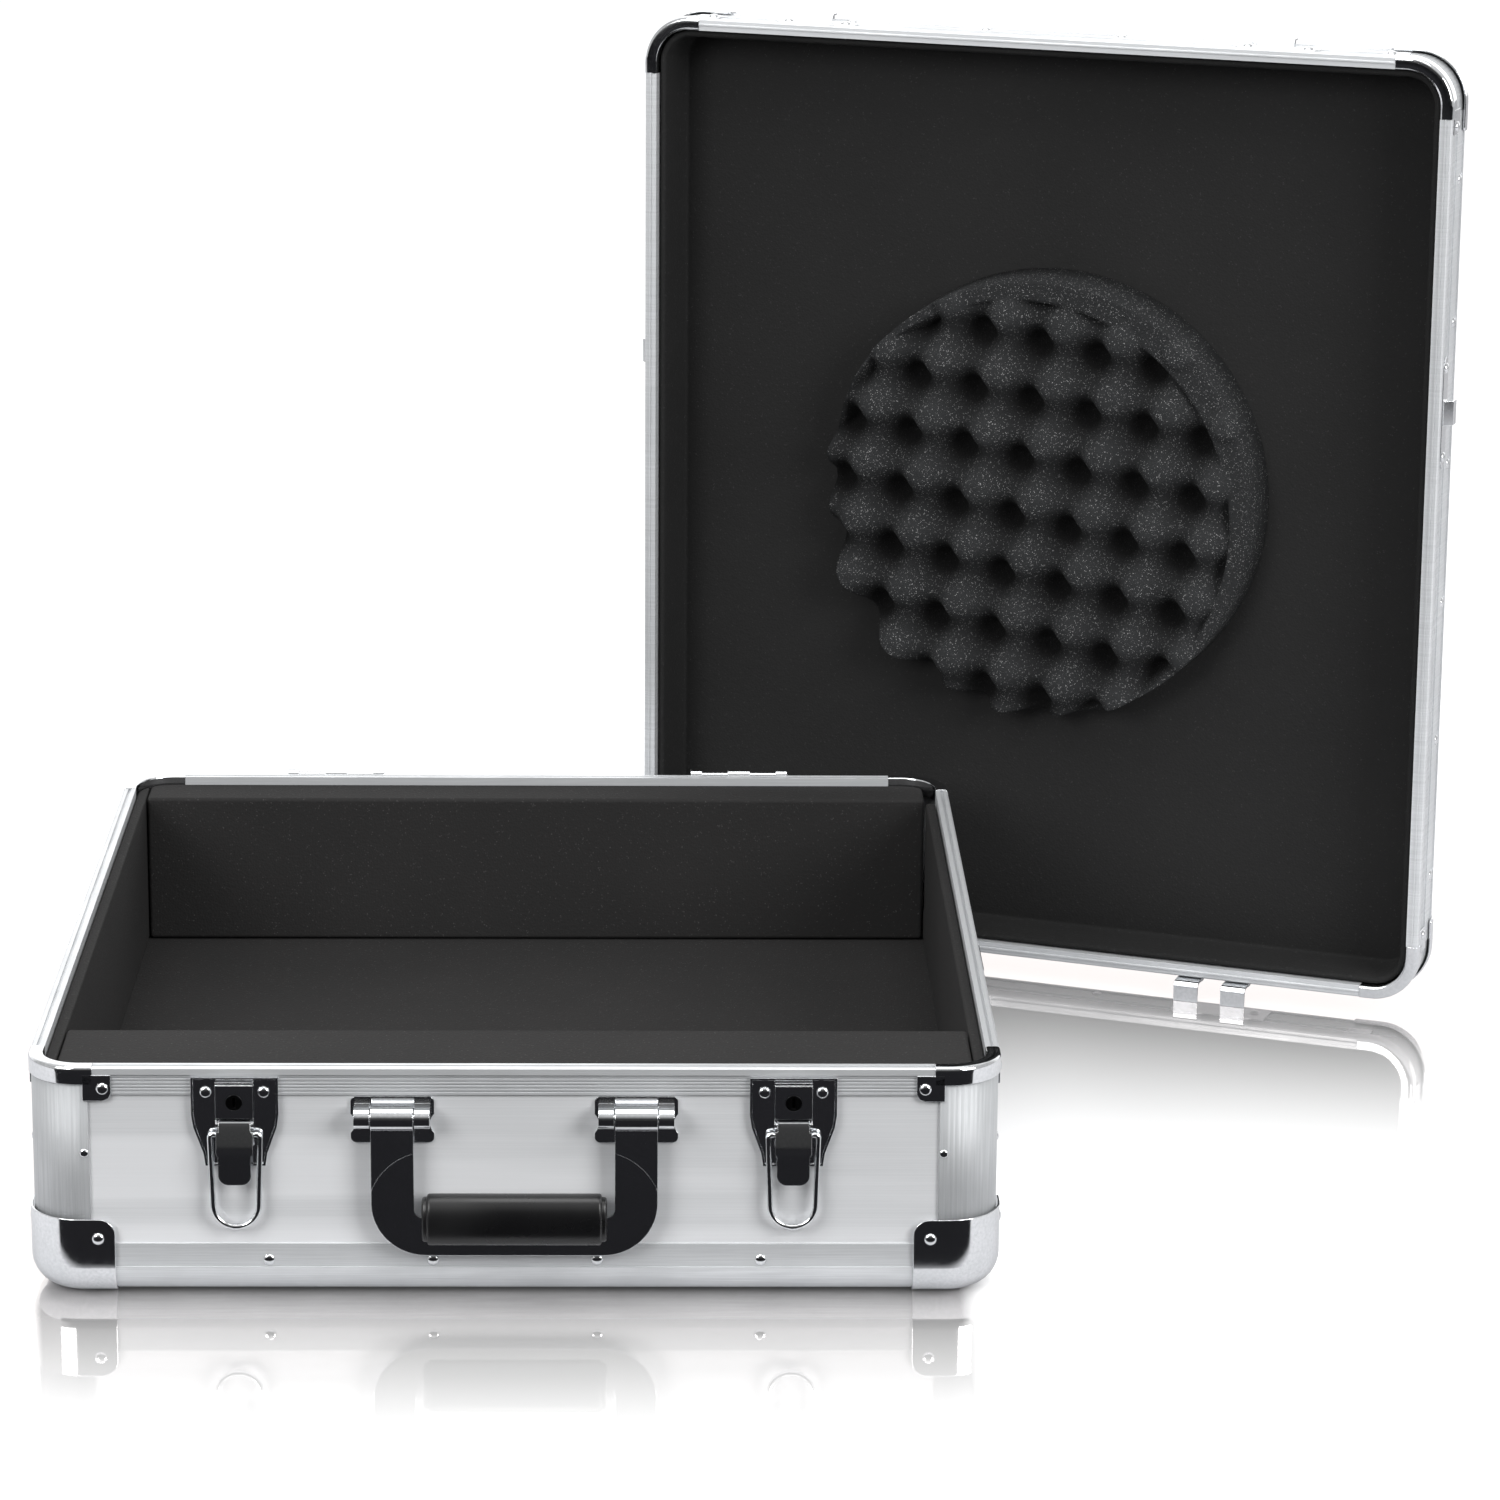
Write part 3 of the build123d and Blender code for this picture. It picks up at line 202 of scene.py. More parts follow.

# %% [markdown]
# The rails and posts are extruded aluminium with a satin anodised skin. Extrusion leaves long
# faint die lines and the anodising makes the shine broad and soft. The corners, latches and
# handle are pressed steel with bright chrome, which has only faint smudges and hairlines. Pins
# are plain nickel, and the lock plugs are coloured near black as painted shade for their keyholes.

# %% Metals


def metal(name, colour, dull_colour, roughness, dull_roughness, grain, stretch=(1, 1, 1), bare=1.0):
    """A metal whose colour and roughness vary over a grain given in metres.

    Stretch is the grain's share along each axis, and bare how much of the metal shows."""
    material, tree, place = new_material(name)
    colour, dull_colour = linear(colour), linear(dull_colour)
    grain_scale = [s / grain for s in stretch]
    grain_place = add_node(tree, "ShaderNodeMapping", Vector=place, Scale=grain_scale)
    fine = add_node(tree, NOISE, Vector=grain_place, Scale=1.0, Detail=3.0)
    smudge = add_node(tree, NOISE, Vector=place, Scale=22.0, Detail=3.0)
    both = add_node(tree, MATHS, MULTIPLY, in0=fine, in1=smudge)
    share = add_node(tree, RANGE, Value=both, From_Min=0.15, From_Max=0.4)
    tone = add_node(tree, MIX, COLOURS, output=2, in0=share, in6=dull_colour, in7=colour)
    rough = add_node(tree, RANGE, Value=share, To_Min=dull_roughness, To_Max=roughness)
    soft_edge = add_node(tree, "ShaderNodeBevel", {"samples": 4}, Radius=0.35 * MM)
    bump = add_node(
        tree, BUMP, Height=fine, Strength=0.06, Distance=0.03 * MM, Normal=soft_edge
    )
    skin = add_node(tree, SKIN, Base_Color=tone, Metallic=bare, Roughness=rough, Normal=bump)
    add_node(tree, OUTPUT, Surface=skin)
    return material


satin = "#D4D6D8", "#C4C6C8", 0.32, 0.44, 0.8 * MM
rail_metal = metal("satin_anodised_rail", *satin, (0.02, 0.02, 1), 0.45)
post_satin = "#B8BABC", "#A8AAAC", 0.5, 0.6, 0.8 * MM
post_metal = metal("satin_anodised_post", *post_satin, (1, 1, 0.02), 0.35)
chrome = metal("polished_chrome", "#E9EAEC", "#D4D6D8", 0.04, 0.12, 1.5 * MM)
nickel = metal("nickel_plated_steel", "#D6D8DA", "#BEC0C2", 0.14, 0.28, 1.2 * MM)
# painted shade: near-black steel on the lock plugs stands for the shade down in their keyholes
keyhole_shade_steel = metal("steel_painted_black_as_keyhole_shade", "#242425", "#141415", 0.3, 0.45, 1.2 * MM)
print("metals made")

# %% [markdown]
# The linings are closed-cell foam with a smooth skin, almost black. The disc in the lid is
# open-cell foam, cut to egg-crate waves: its torn cells catch the light as pale specks.

# %% Foams


def foam_material(name, colours, cell, speck_share, bump_height):
    """Black foam with a fine cell texture and a share of pale specks.

    The colours are the darkest tone, the lightest and the specks'."""
    material, tree, place = new_material(name)
    dark, light, speck = (linear(colour) for colour in colours)
    cells = add_node(tree, "ShaderNodeTexVoronoi", output="Distance", Vector=place, Scale=1 / cell)
    grain = add_node(tree, NOISE, Vector=place, Scale=0.6 / cell, Detail=4.0)
    broad = add_node(tree, NOISE, Vector=place, Scale=9.0, Detail=3.0)
    tone = add_node(tree, MIX, COLOURS, output=2, in0=broad, in6=dark, in7=light)
    torn_from, torn_to = 0.72 - speck_share, 0.78 - speck_share
    torn = add_node(tree, RANGE, Value=grain, From_Min=torn_from, From_Max=torn_to)
    near = add_node(tree, RANGE, Value=cells, From_Min=0.1, From_Max=0.35, To_Min=1.0, To_Max=0.0)
    shown = add_node(tree, MATHS, MULTIPLY, in0=torn, in1=near)
    tone = add_node(tree, MIX, COLOURS, output=2, in0=shown, in6=tone, in7=speck)
    height = add_node(tree, MATHS, in0=cells, in1=grain)
    bump = add_node(tree, BUMP, Height=height, Strength=0.5, Distance=bump_height)
    skin = add_node(tree, SKIN, Base_Color=tone, Roughness=0.9, Specular_IOR_Level=0.2, Normal=bump)
    add_node(tree, OUTPUT, Surface=skin)
    return material


# closed-cell foam with a smooth skin
lining_foam = foam_material(
    "black_skinned_lining_foam", ("#1F1F1F", "#292828", "#4A4949"), 1.3 * MM, 0.16, 0.3 * MM
)
# the same foam, painted darker for the lid as shade
shaded_lid_foam = foam_material(
    "black_lid_foam_painted_shade", ("#1A1A1A", "#232323", "#3A3A3A"), 1.3 * MM, 0.16, 0.3 * MM
)
# open-cell foam, torn where it was cut, with painted shade that darkens it down in its pits
disc_foam = foam_material(
    "charcoal_open_cell_foam", ("#212223", "#2D2E2F", "#C4C4C4"), 0.75 * MM, 0.2, 0.6 * MM
)
tree = disc_foam.node_tree
skin = next(node for node in tree.nodes if node.type == "BSDF_PRINCIPLED")
# painted shade: the tone is multiplied darker where the stored wave share is low, down in the pits
rise = add_node(tree, "ShaderNodeAttribute", {"attribute_name": "rise"}, output="Fac")
lit_share = add_node(tree, RANGE, Value=rise, From_Min=0.25, From_Max=0.95, To_Min=0.05)
darken = {**COLOURS, "blend_type": "MULTIPLY"}
foam_tone = skin.inputs["Base Color"].links[0].from_socket
shaded = add_node(tree, MIX, darken, output=2, in0=1.0, in6=foam_tone, in7=lit_share)
tree.links.new(shaded, skin.inputs["Base Color"])
print("foams made")

# %% [markdown]
# The grip is moulded in black plastic. Moulded plastic has an even satin shine, with a very fine
# texture from the mould.

# %% Black plastic
grip_plastic, tree, place = new_material("black_moulded_plastic")
mould = add_node(tree, NOISE, Vector=place, Scale=1 / (0.7 * MM), Detail=2.0)
wear = add_node(tree, NOISE, Vector=place, Scale=30.0, Detail=3.0)
black, worn_black = linear("#0B0B0C"), linear("#161617")
tone = add_node(tree, MIX, COLOURS, output=2, in0=wear, in6=black, in7=worn_black)
rough = add_node(tree, RANGE, Value=wear, From_Min=0.3, From_Max=0.7, To_Min=0.26, To_Max=0.38)
bump = add_node(tree, BUMP, Height=mould, Strength=0.15, Distance=0.05 * MM)
skin = add_node(tree, SKIN, Base_Color=tone, Roughness=rough, Normal=bump)
add_node(tree, OUTPUT, Surface=skin)
print("plastic made")

# %% [markdown]
# The boards, the rails and the pins stay in the picture as the CAD made them, and get their
# finishes here. Every other part is made again below, with its finish.

# %% Finishes on the CAD parts
finishes = {
    laminate: ["front_panel", "rear_panel", "bottom_panel"],
    laminate_side: ["left_panel", "right_panel"],
    laminate_tall: ["lid_panel", "lid_side_panels"],
    rail_metal: [n for n in nodes if n.startswith(("rim_rail_", "bottom_rail_"))]
    + ["lid_rim_rails", "lid_back_rails"],
    nickel: ["handle_pins", "hinge_pin_left", "hinge_pin_right"],
}
for material, names in finishes.items():
    for name in names:
        mesh = nodes[name].data
        mesh.materials.clear()
        mesh.materials.append(material)
print("CAD parts kept:", sum(len(names) for names in finishes.values()))

# %% [markdown]
# ## Linings
# Each lining block is cut foam: straight sides with softly rounded edges, and faces that are
# never quite even. A block starts as an outline that is cut to the tray's rounded inside, and
# is lifted to a prism. A bevel rounds its edges, and its material gives the faces their grain.

# %% Meshes from outlines
QUARTERS = ((1, 1), (-1, 1), (-1, -1), (1, -1))


def rounded_outline(half_x, half_y, radius, steps=10, side_steps=1):
    """Points round a rectangle with round corners, anticlockwise, and some along each side."""
    points = []
    for quarter, (sign_x, sign_y) in enumerate(QUARTERS):
        for step in range(steps + 1):
            turn = math.radians(90 * quarter + 90 * step / steps)
            points.append(
                (
                    sign_x * (half_x - radius) + radius * math.cos(turn),
                    sign_y * (half_y - radius) + radius * math.sin(turn),
                )
            )
        side = 2 * ((half_x if quarter % 2 == 0 else half_y) - radius)
        run_x, run_y = ((-1, 0), (0, -1), (1, 0), (0, 1))[quarter]
        last_x, last_y = points[-1]
        for step in range(1, side_steps):
            along = side * step / side_steps
            points.append((last_x + run_x * along, last_y + run_y * along))
    return points


def cut_outline(points, axis, limit, keep_above):
    """The part of a convex outline on one side of a straight line."""
    inside = [(p[axis] >= limit) == keep_above or p[axis] == limit for p in points]
    kept = []
    for i, point in enumerate(points):
        after = (i + 1) % len(points)
        if inside[i]:
            kept.append(point)
        if inside[i] != inside[after]:
            share = (limit - point[axis]) / (points[after][axis] - point[axis])
            kept.append(tuple(a + share * (b - a) for a, b in zip(point, points[after])))
    return kept


def new_object(name, data):
    """A new object in the scene, at the origin."""
    made = bpy.data.objects.new(name, data)
    bpy.context.scene.collection.objects.link(made)
    return made


def mesh_object(name, bm, material, smooth=True):
    """A finished piece at the origin from a bmesh."""
    bmesh.ops.remove_doubles(bm, verts=bm.verts, dist=1e-6)
    bmesh.ops.recalc_face_normals(bm, faces=bm.faces)
    mesh = bpy.data.meshes.new(name)
    bm.to_mesh(mesh)
    bm.free()
    mesh.materials.append(material)
    for face in mesh.polygons:
        face.use_smooth = smooth
    return new_object(name, mesh)


def apply_modifiers(piece):
    """Turn a piece with its modifiers into a plain mesh."""
    graph = bpy.context.evaluated_depsgraph_get()
    graph.update()
    mesh = bpy.data.meshes.new_from_object(piece.evaluated_get(graph))
    old = piece.data
    piece.modifiers.clear()
    piece.data = mesh
    bpy.data.meshes.remove(old)
    return piece


def stack(bm, loops):
    """Join closed loops of points, one after another, and fill the first and the last."""
    rows = [[bm.verts.new(point) for point in loop] for loop in loops]
    count = len(rows[0])
    for first, second in zip(rows, rows[1:]):
        for i in range(count):
            j = (i + 1) % count
            bm.faces.new((first[i], first[j], second[j], second[i]))
    bm.faces.new(list(reversed(rows[0])))
    bm.faces.new(rows[-1])


def soften(piece, edge=None, segments=3, angle=50):
    """Round the edges if a width is given, even out the shading, and make the mesh plain."""
    if edge:
        bevel = piece.modifiers.new("rounded_edge", "BEVEL")
        bevel.width, bevel.segments, bevel.limit_method = edge, segments, "ANGLE"
        bevel.angle_limit = math.radians(angle)
    piece.modifiers.new("clean_shading", "WEIGHTED_NORMAL").keep_sharp = True
    return apply_modifiers(piece)


def stand_in(piece, node_name, body):
    """Let a piece stand for a CAD part and move with a body."""
    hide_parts(node_name)
    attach(piece, body)


def round_centre(corner):
    """The centre of a tray's rounded corner, in the tray's own frame."""
    sign_x, sign_y = QUARTERS[corner]
    return Vector((sign_x * (width / 2 - corner_radius), sign_y * (depth / 2 - corner_radius), 0))


inner_wall = 7.3 * MM
inner_x = width / 2 - inner_wall
inner_y = depth / 2 - inner_wall
inner_radius = corner_radius - inner_wall
foam_inset = 0.15 * MM
print("inside:", round(2 * inner_x / MM, 1), "x", round(2 * inner_y / MM, 1), "mm")

# %% The base's lining blocks


def lining_block(name, node_name, round_edge=2.2 * MM):
    """Foam with the place and outline of its CAD block, and soft edges."""
    low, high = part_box(node_name)
    outline = rounded_outline(inner_x - foam_inset, inner_y - foam_inset, inner_radius)
    for axis in (0, 1):
        outline = cut_outline(outline, axis, low[axis] + foam_inset, True)
        outline = cut_outline(outline, axis, high[axis] - foam_inset, False)
    bm = bmesh.new()
    levels = low[2] + foam_inset, high[2] - foam_inset
    stack(bm, [[(x, y, z) for x, y in outline] for z in levels])
    piece = mesh_object(name, bm, lining_foam)
    soften(piece, min(round_edge, (high[0] - low[0]) / 3), segments=4, angle=40)
    stand_in(piece, node_name, "base")


for part in ("floor", "front_block", "rear_block", "left"):
    lining_block(f"foam_lining_{part}", f"lining_{part}")
print("base linings made")

# %% [markdown]
# The right lining has a slot cut down into its rear end. Its outline seen from the side is an L,
# so it is drawn from the side and carried through its thickness.

# %% The lining with a slot
low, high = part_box("lining_right")
slot_length, slot_sill = 32 * MM, 48 * MM
side_view = [
    (low[1], low[2]),
    (high[1] - inner_radius, low[2]),
    (high[1] - inner_radius, slot_sill),
    (high[1] - slot_length, slot_sill),
    (high[1] - slot_length, high[2]),
    (low[1], high[2]),
]
bm = bmesh.new()
sides = low[0] + foam_inset, high[0] - foam_inset
stack(bm, [[(x, y, z) for y, z in side_view] for x in sides])
slotted = soften(mesh_object("foam_lining_right", bm, lining_foam), 2 * MM, segments=4, angle=30)
stand_in(slotted, "lining_right", "base")
print("slotted lining made")

# %% [markdown]
# The lid's lining is one shallow moulded tray of the same foam, painted a little darker as shade,
# with round inner corners. Heat has drawn its walls into faint upright ridges.

# %% The lid's lining
lid_floor = -lid_height + 5.5 * MM
tray_floor = lid_floor + 3 * MM
tray_top = -4 * MM
wall_thickness = 4 * MM
ridge_depth, ridge_spacing = 0.35 * MM, 1.9 * MM
levels = [
    (foam_inset, lid_floor + foam_inset),
    (foam_inset, tray_top - 1.5 * MM),
    (1.2 * MM, tray_top),
    (wall_thickness - 1.2 * MM, tray_top),
    (wall_thickness, tray_top - 1.5 * MM),
    (wall_thickness, (tray_top + tray_floor) / 2),
    (wall_thickness, tray_floor + 2.5 * MM),
    (wall_thickness + 2.5 * MM, tray_floor),
]
bm = bmesh.new()
loops = []
for inset, level in levels:
    outline = rounded_outline(
        inner_x - inset, inner_y - inset, inner_radius - inset, steps=12, side_steps=60
    )
    ridge = ridge_depth if inset == wall_thickness else 0.0
    loops.append(
        [
            (
                x - ridge * math.copysign(1, x) * (1 + math.sin(y / ridge_spacing)) / 2,
                y - ridge * math.copysign(1, y) * (1 + math.sin(x / ridge_spacing)) / 2,
                level,
            )
            for x, y in outline
        ]
    )
stack(bm, loops)
bm.transform(lid_frame)
stand_in(soften(mesh_object("foam_lining_lid", bm, shaded_lid_foam)), "lid_lining", "lid")
print("lid lining made")

# %% [markdown]
# ## Shapes that follow a rule
# The egg-crate disc and the rivets are made by Geometry Nodes. A group takes its sizes as named
# inputs, and its result is turned to a plain mesh.

# %% Geometry node groups


def new_group(name, **numbers):
    """A geometry node group that takes a mesh and some named numbers, and gives a mesh."""
    group = bpy.data.node_groups.new(name, "GeometryNodeTree")
    group.interface.new_socket("Geometry", in_out="INPUT", socket_type="NodeSocketGeometry")
    for label, value in numbers.items():
        kind = "NodeSocketInt" if isinstance(value, int) else "NodeSocketFloat"
        group.interface.new_socket(label, in_out="INPUT", socket_type=kind)
    group.interface.new_socket("Geometry", in_out="OUTPUT", socket_type="NodeSocketGeometry")
    given = group.nodes.new("NodeGroupInput").outputs
    return group, given


def run_group(piece, group, **numbers):
    """Give a piece the group with these numbers, and keep what comes out as its mesh."""
    modifier = piece.modifiers.new(group.name, "NODES")
    modifier.node_group = group
    for item in group.interface.items_tree:
        if item.in_out == "INPUT" and item.name in numbers:
            modifier[item.identifier] = numbers[item.name]
    return apply_modifiers(piece)


def empty_piece(name, points=()):
    """A piece with only loose points, or with nothing."""
    mesh = bpy.data.meshes.new(name)
    mesh.from_pydata(points, [], [])
    return new_object(name, mesh)


# %% [markdown]
# The disc starts as a square grid that is pressed out to a circle, so its faces stay even. It is
# lifted to a slab, and the top then follows two crossed cosine waves with a little torn noise.
# The bumps lean a little to the lower left, as if pressed, and the upper right rim is uncut.

# %% The egg-crate disc
disc_sizes = {
    "Radius": 129.6 * MM,
    "Base": 6.8 * MM,
    "Wave": 17.0 * MM,
    "Pitch": 35.0 * MM,
    "Turn": math.radians(8.5),
    "Lean": -7.5 * MM,
    "Torn": 1.3 * MM,
    "Seed": 4.0,
}
torn_scale, torn_middle, grid_points = 170.0, 0.7, 150
pit_narrowing, uncut_level, lean_down_share = 1.3, 0.8, 0.85
pit_centre, pit_reach, uncut_from = -9 * MM, 119 * MM, 127 * MM
group, given = new_group("egg_crate_foam", **disc_sizes)
counts = {"Vertices_X": grid_points, "Vertices_Y": grid_points}
grid = add_node(group, "GeometryNodeMeshGrid", Size_X=2.0, Size_Y=2.0, **counts)
at = add_node(group, SPLIT, Vector=add_node(group, POSITION))
across, along = at.node.outputs["X"], at.node.outputs["Y"]


def pressed(axis, other):
    """Where a square's coordinate goes when the square is pressed out to a circle."""
    squared = add_node(group, MATHS, MULTIPLY, in0=other, in1=other)
    less = add_node(group, MATHS, {"operation": "MULTIPLY_ADD"}, in0=squared, in1=-0.5, in2=1.0)
    root = add_node(group, MATHS, {"operation": "SQRT"}, in0=less)
    unit = add_node(group, MATHS, MULTIPLY, in0=axis, in1=root)
    return add_node(group, MATHS, MULTIPLY, in0=unit, in1=given["Radius"])


disc_place = add_node(group, JOIN, X=pressed(across, along), Y=pressed(along, across))
disc = add_node(group, "GeometryNodeSetPosition", Geometry=grid, Position=disc_place)
lift = add_node(group, JOIN, Z=given["Base"])
slab = add_node(
    group, "GeometryNodeExtrudeMesh", Mesh=disc, Offset=lift, Offset_Scale=1.0, Individual=False
)
top = slab.node.outputs["Top"]
under = add_node(group, "GeometryNodeFlipFaces", Mesh=disc)
joined = add_node(group, "GeometryNodeJoinGeometry")
for part in (slab, under):
    group.links.new(part, joined.node.inputs[0])
whole = add_node(group, "GeometryNodeMergeByDistance", Geometry=joined, Distance=0.01 * MM)
turned = add_node(
    group,
    "ShaderNodeVectorRotate",
    {"rotation_type": "Z_AXIS"},
    Vector=add_node(group, POSITION),
    Angle=given["Turn"],
)
at = add_node(group, SPLIT, Vector=turned)
waves = []
for axis in ("X", "Y"):
    turns = add_node(
        group, MATHS, {"operation": "DIVIDE"}, in0=at.node.outputs[axis], in1=given["Pitch"]
    )
    angle = add_node(group, MATHS, MULTIPLY, in0=turns, in1=math.tau)
    waves.append(add_node(group, MATHS, {"operation": "COSINE"}, in0=angle))
both = add_node(group, MATHS, in0=waves[0], in1=waves[1])
share = add_node(group, RANGE, Value=both, From_Min=-2.0, From_Max=1.8)
depth_left = add_node(group, MATHS, SUBTRACT, in0=1.0, in1=share)
narrowed = add_node(group, MATHS, {"operation": "POWER"}, in0=depth_left, in1=pit_narrowing)
share = add_node(group, MATHS, SUBTRACT, in0=1.0, in1=narrowed)
from_pits = add_node(
    group,
    VECTOR,
    {"operation": "DISTANCE"},
    output="Value",
    in0=add_node(group, POSITION),
    in1=(pit_centre, pit_centre, disc_sizes["Base"]),
)
pit_edge = {"From_Min": pit_reach, "From_Max": uncut_from, "To_Max": uncut_level}
uncut = add_node(group, RANGE, Value=from_pits, **pit_edge)
share = add_node(group, MATHS, LARGEST, in0=share, in1=uncut)
lean = add_node(group, MATHS, MULTIPLY, in0=share, in1=given["Lean"])
lean_down = add_node(group, MATHS, MULTIPLY, in0=lean, in1=lean_down_share)
height = add_node(group, MATHS, MULTIPLY, in0=share, in1=given["Wave"])
seeded = {"noise_dimensions": "4D"}
torn = add_node(group, NOISE, seeded, W=given["Seed"], Scale=torn_scale, Detail=3.0)
torn = add_node(group, MATHS, SUBTRACT, in0=torn, in1=torn_middle)
torn = add_node(group, MATHS, MULTIPLY, in0=torn, in1=given["Torn"])
risen = add_node(group, MATHS, in0=height, in1=torn)
rise = add_node(group, JOIN, X=lean, Y=lean_down, Z=risen)
# the wave share is kept as 'rise' for the painted shade in the foam's pits
depth_kept = add_node(
    group, "GeometryNodeStoreNamedAttribute", Geometry=whole, Name="rise", Value=share
)
waved = add_node(group, "GeometryNodeSetPosition", Geometry=depth_kept, Selection=top, Offset=rise)
smooth = add_node(group, "GeometryNodeSetShadeSmooth", Geometry=waved)
real = add_node(group, REAL, Geometry=smooth)
done = add_node(group, "GeometryNodeSetMaterial", Geometry=real, Material=disc_foam)
add_node(group, "NodeGroupOutput", Geometry=done)

foam = run_group(empty_piece("foam_disc_waves"), group, **disc_sizes)
disc_middle = Matrix.Translation((3.5 * MM, 5 * MM, tray_floor + 0.4 * MM))
foam.data.transform(lid_frame @ disc_middle)
stand_in(foam, "foam_disc", "lid")
print("foam disc:", len(foam.data.polygons), "faces")

# %% [markdown]
# A rivet head is a low dome with a flat underside. One group puts a dome on each point of a
# list, turned to face outward. Each point carries its direction and its dome's radius and height.

# %% Rivets
group, given = new_group("rivet_heads", Segments=24)
ball = add_node(group, "GeometryNodeMeshUVSphere", Segments=given["Segments"], Rings=12, Radius=1.0)
at = add_node(group, SPLIT, Vector=add_node(group, POSITION))
height_in_ball = at.node.outputs["Z"]
below = add_node(group, MATHS, {"operation": "LESS_THAN"}, in0=height_in_ball, in1=-0.01)
dome = add_node(group, "GeometryNodeDeleteGeometry", Geometry=ball, Selection=below)
underside = add_node(
    group, "GeometryNodeMeshCircle", {"fill_type": "NGON"}, Vertices=given["Segments"], Radius=1.0
)
joined = add_node(group, "GeometryNodeJoinGeometry")
for part in (dome, underside):
    group.links.new(part, joined.node.inputs[0])
head = add_node(group, "GeometryNodeMergeByDistance", Geometry=joined, Distance=0.001)
stored, three = "GeometryNodeInputNamedAttribute", {"data_type": "FLOAT_VECTOR"}
outward = add_node(group, stored, three, Name="outward")
sizes = add_node(group, stored, three, Name="sizes")
facing_out = add_node(group, "FunctionNodeAlignRotationToVector", {"axis": "Z"}, Vector=outward)
heads = add_node(
    group,
    "GeometryNodeInstanceOnPoints",
    Points=given["Geometry"],
    Instance=head,
    Rotation=facing_out,
    Scale=sizes,
)
real = add_node(group, REAL, Geometry=heads)
smooth = add_node(group, "GeometryNodeSetShadeSmooth", Geometry=real)
done = add_node(group, "GeometryNodeSetMaterial", Geometry=smooth, Material=chrome)
add_node(group, "NodeGroupOutput", Geometry=done)

RIGHT, REAR, LEFT, FRONT = 0, 90, 180, 270
wall_reach = {FRONT: depth / 2, REAR: depth / 2, LEFT: width / 2, RIGHT: width / 2}
wall_end = {FRONT: width / 2, REAR: width / 2, LEFT: depth / 2, RIGHT: depth / 2}


def out_and_along(angle):
    """The level directions out at an angle from a tray's middle, and square to that."""
    across, up = math.cos(angle), math.sin(angle)
    return Vector((across, up, 0)), Vector((-up, across, 0))


def wall(tray_frame, facing, along=0.0):
    """The frame of a wall's outer face at its rim: x along it, y to the rim, z outward."""
    out, run = out_and_along(math.radians(facing))
    face = Matrix((run, Vector((0, 0, 1)), out)).transposed().to_4x4()
    face.translation = out * wall_reach[facing] + run * along
    return tray_frame @ face


long_edge = [place * MM for place in (-202.5, -121.5, -40.5, 40.5, 121.5, 202.5)]
short_edge = long_edge[1:-1]
edge_spots = {FRONT: short_edge, REAR: short_edge, LEFT: long_edge, RIGHT: long_edge}
heads_of = {"base": [], "lid": []}
# how far each face that a rivet sits on stands out from the wall's own face
board_face, tab_face, leaf_face = -0.8 * MM, 0.4 * MM, 1.2 * MM
plate_face, hinge_face = 0.2 * MM, 0.7 * MM
# places from the wall's end, and up from the floor or down from the rim
rail_up, cap_inset, cap_down = 18.5 * MM, 38.3 * MM, 11 * MM
ball_inset, ball_up, post_inset, post_up = 34.6 * MM, 30 * MM, 28.6 * MM, 74 * MM
latch_step, latch_down = 14.2 * MM, 12.6 * MM
hinge_middle, hinge_step, hinge_down = 118.7 * MM, 20 * MM, 22 * MM
keeper_inset, keeper_down, back_inset = 6.5 * MM, 9.5 * MM, 33 * MM
# each latch's wall and place, and each of the lid's keepers' wall, place and half length
latches = {
    "front_left": (FRONT, -137 * MM),
    "front_right": (FRONT, 137 * MM),
    "side_left": (LEFT, 73 * MM),
    "side_right": (RIGHT, -73 * MM),
}
keepers = ((REAR, -137, 24), (REAR, 137, 24), (LEFT, -73, 32), (RIGHT, 73, 32))


def rivet(body, facing, along, height, out, radius=3 * MM, crown=1.4 * MM):
    """Note one rivet: its place along a wall, up from its rim and out from its face."""
    face = wall(base_frame if body == "base" else lid_frame, facing)
    place = face @ Vector((along, height, out))
    heads_of[body].append((place, face.col[2].to_3d(), radius, crown))


def both_sides(distance):
    """The two places at one distance from a wall's middle."""
    return (-distance, distance)


def note_rivets(body, height, spots):
    """The rivets that both trays have: along the bottom rails and on the rim's corner caps."""
    for facing, places in spots.items():
        for along in places:
            rivet(body, facing, along, rail_up - height, board_face, 2.9 * MM, 1.15 * MM)
        for along in both_sides(wall_end[facing] - cap_inset):
            rivet(body, facing, along, -cap_down, tab_face)


note_rivets("base", base_height, edge_spots)
note_rivets("lid", lid_height, {**edge_spots, FRONT: short_edge[1:-1]})
for facing in edge_spots:
    for along in both_sides(wall_end[facing] - ball_inset):
        rivet("base", facing, along, ball_up - base_height, leaf_face)
    for along in both_sides(wall_end[facing] - post_inset):
        rivet("base", facing, along, post_up - base_height, board_face, 2.2 * MM, 0.9 * MM)
for facing, along in latches.values():
    for step in both_sides(latch_step):
        rivet("base", facing, along + step, -latch_down, plate_face)
for middle in both_sides(hinge_middle):
    for step in both_sides(hinge_step):
        rivet("base", REAR, middle + step, -hinge_down, hinge_face)
        rivet("lid", FRONT, middle + step, -hinge_down, hinge_face)
for facing, middle, half in keepers:
    for step in both_sides(half * MM - keeper_inset):
        rivet("lid", facing, middle * MM + step, -keeper_down, tab_face)
for along in both_sides(width / 2 - back_inset):
    for up in both_sides(depth / 2 - back_inset):
        place = lid_frame @ Vector((along, up, -lid_height - leaf_face))
        heads_of["lid"].append((place, -lid_out, 3 * MM, 1.7 * MM))
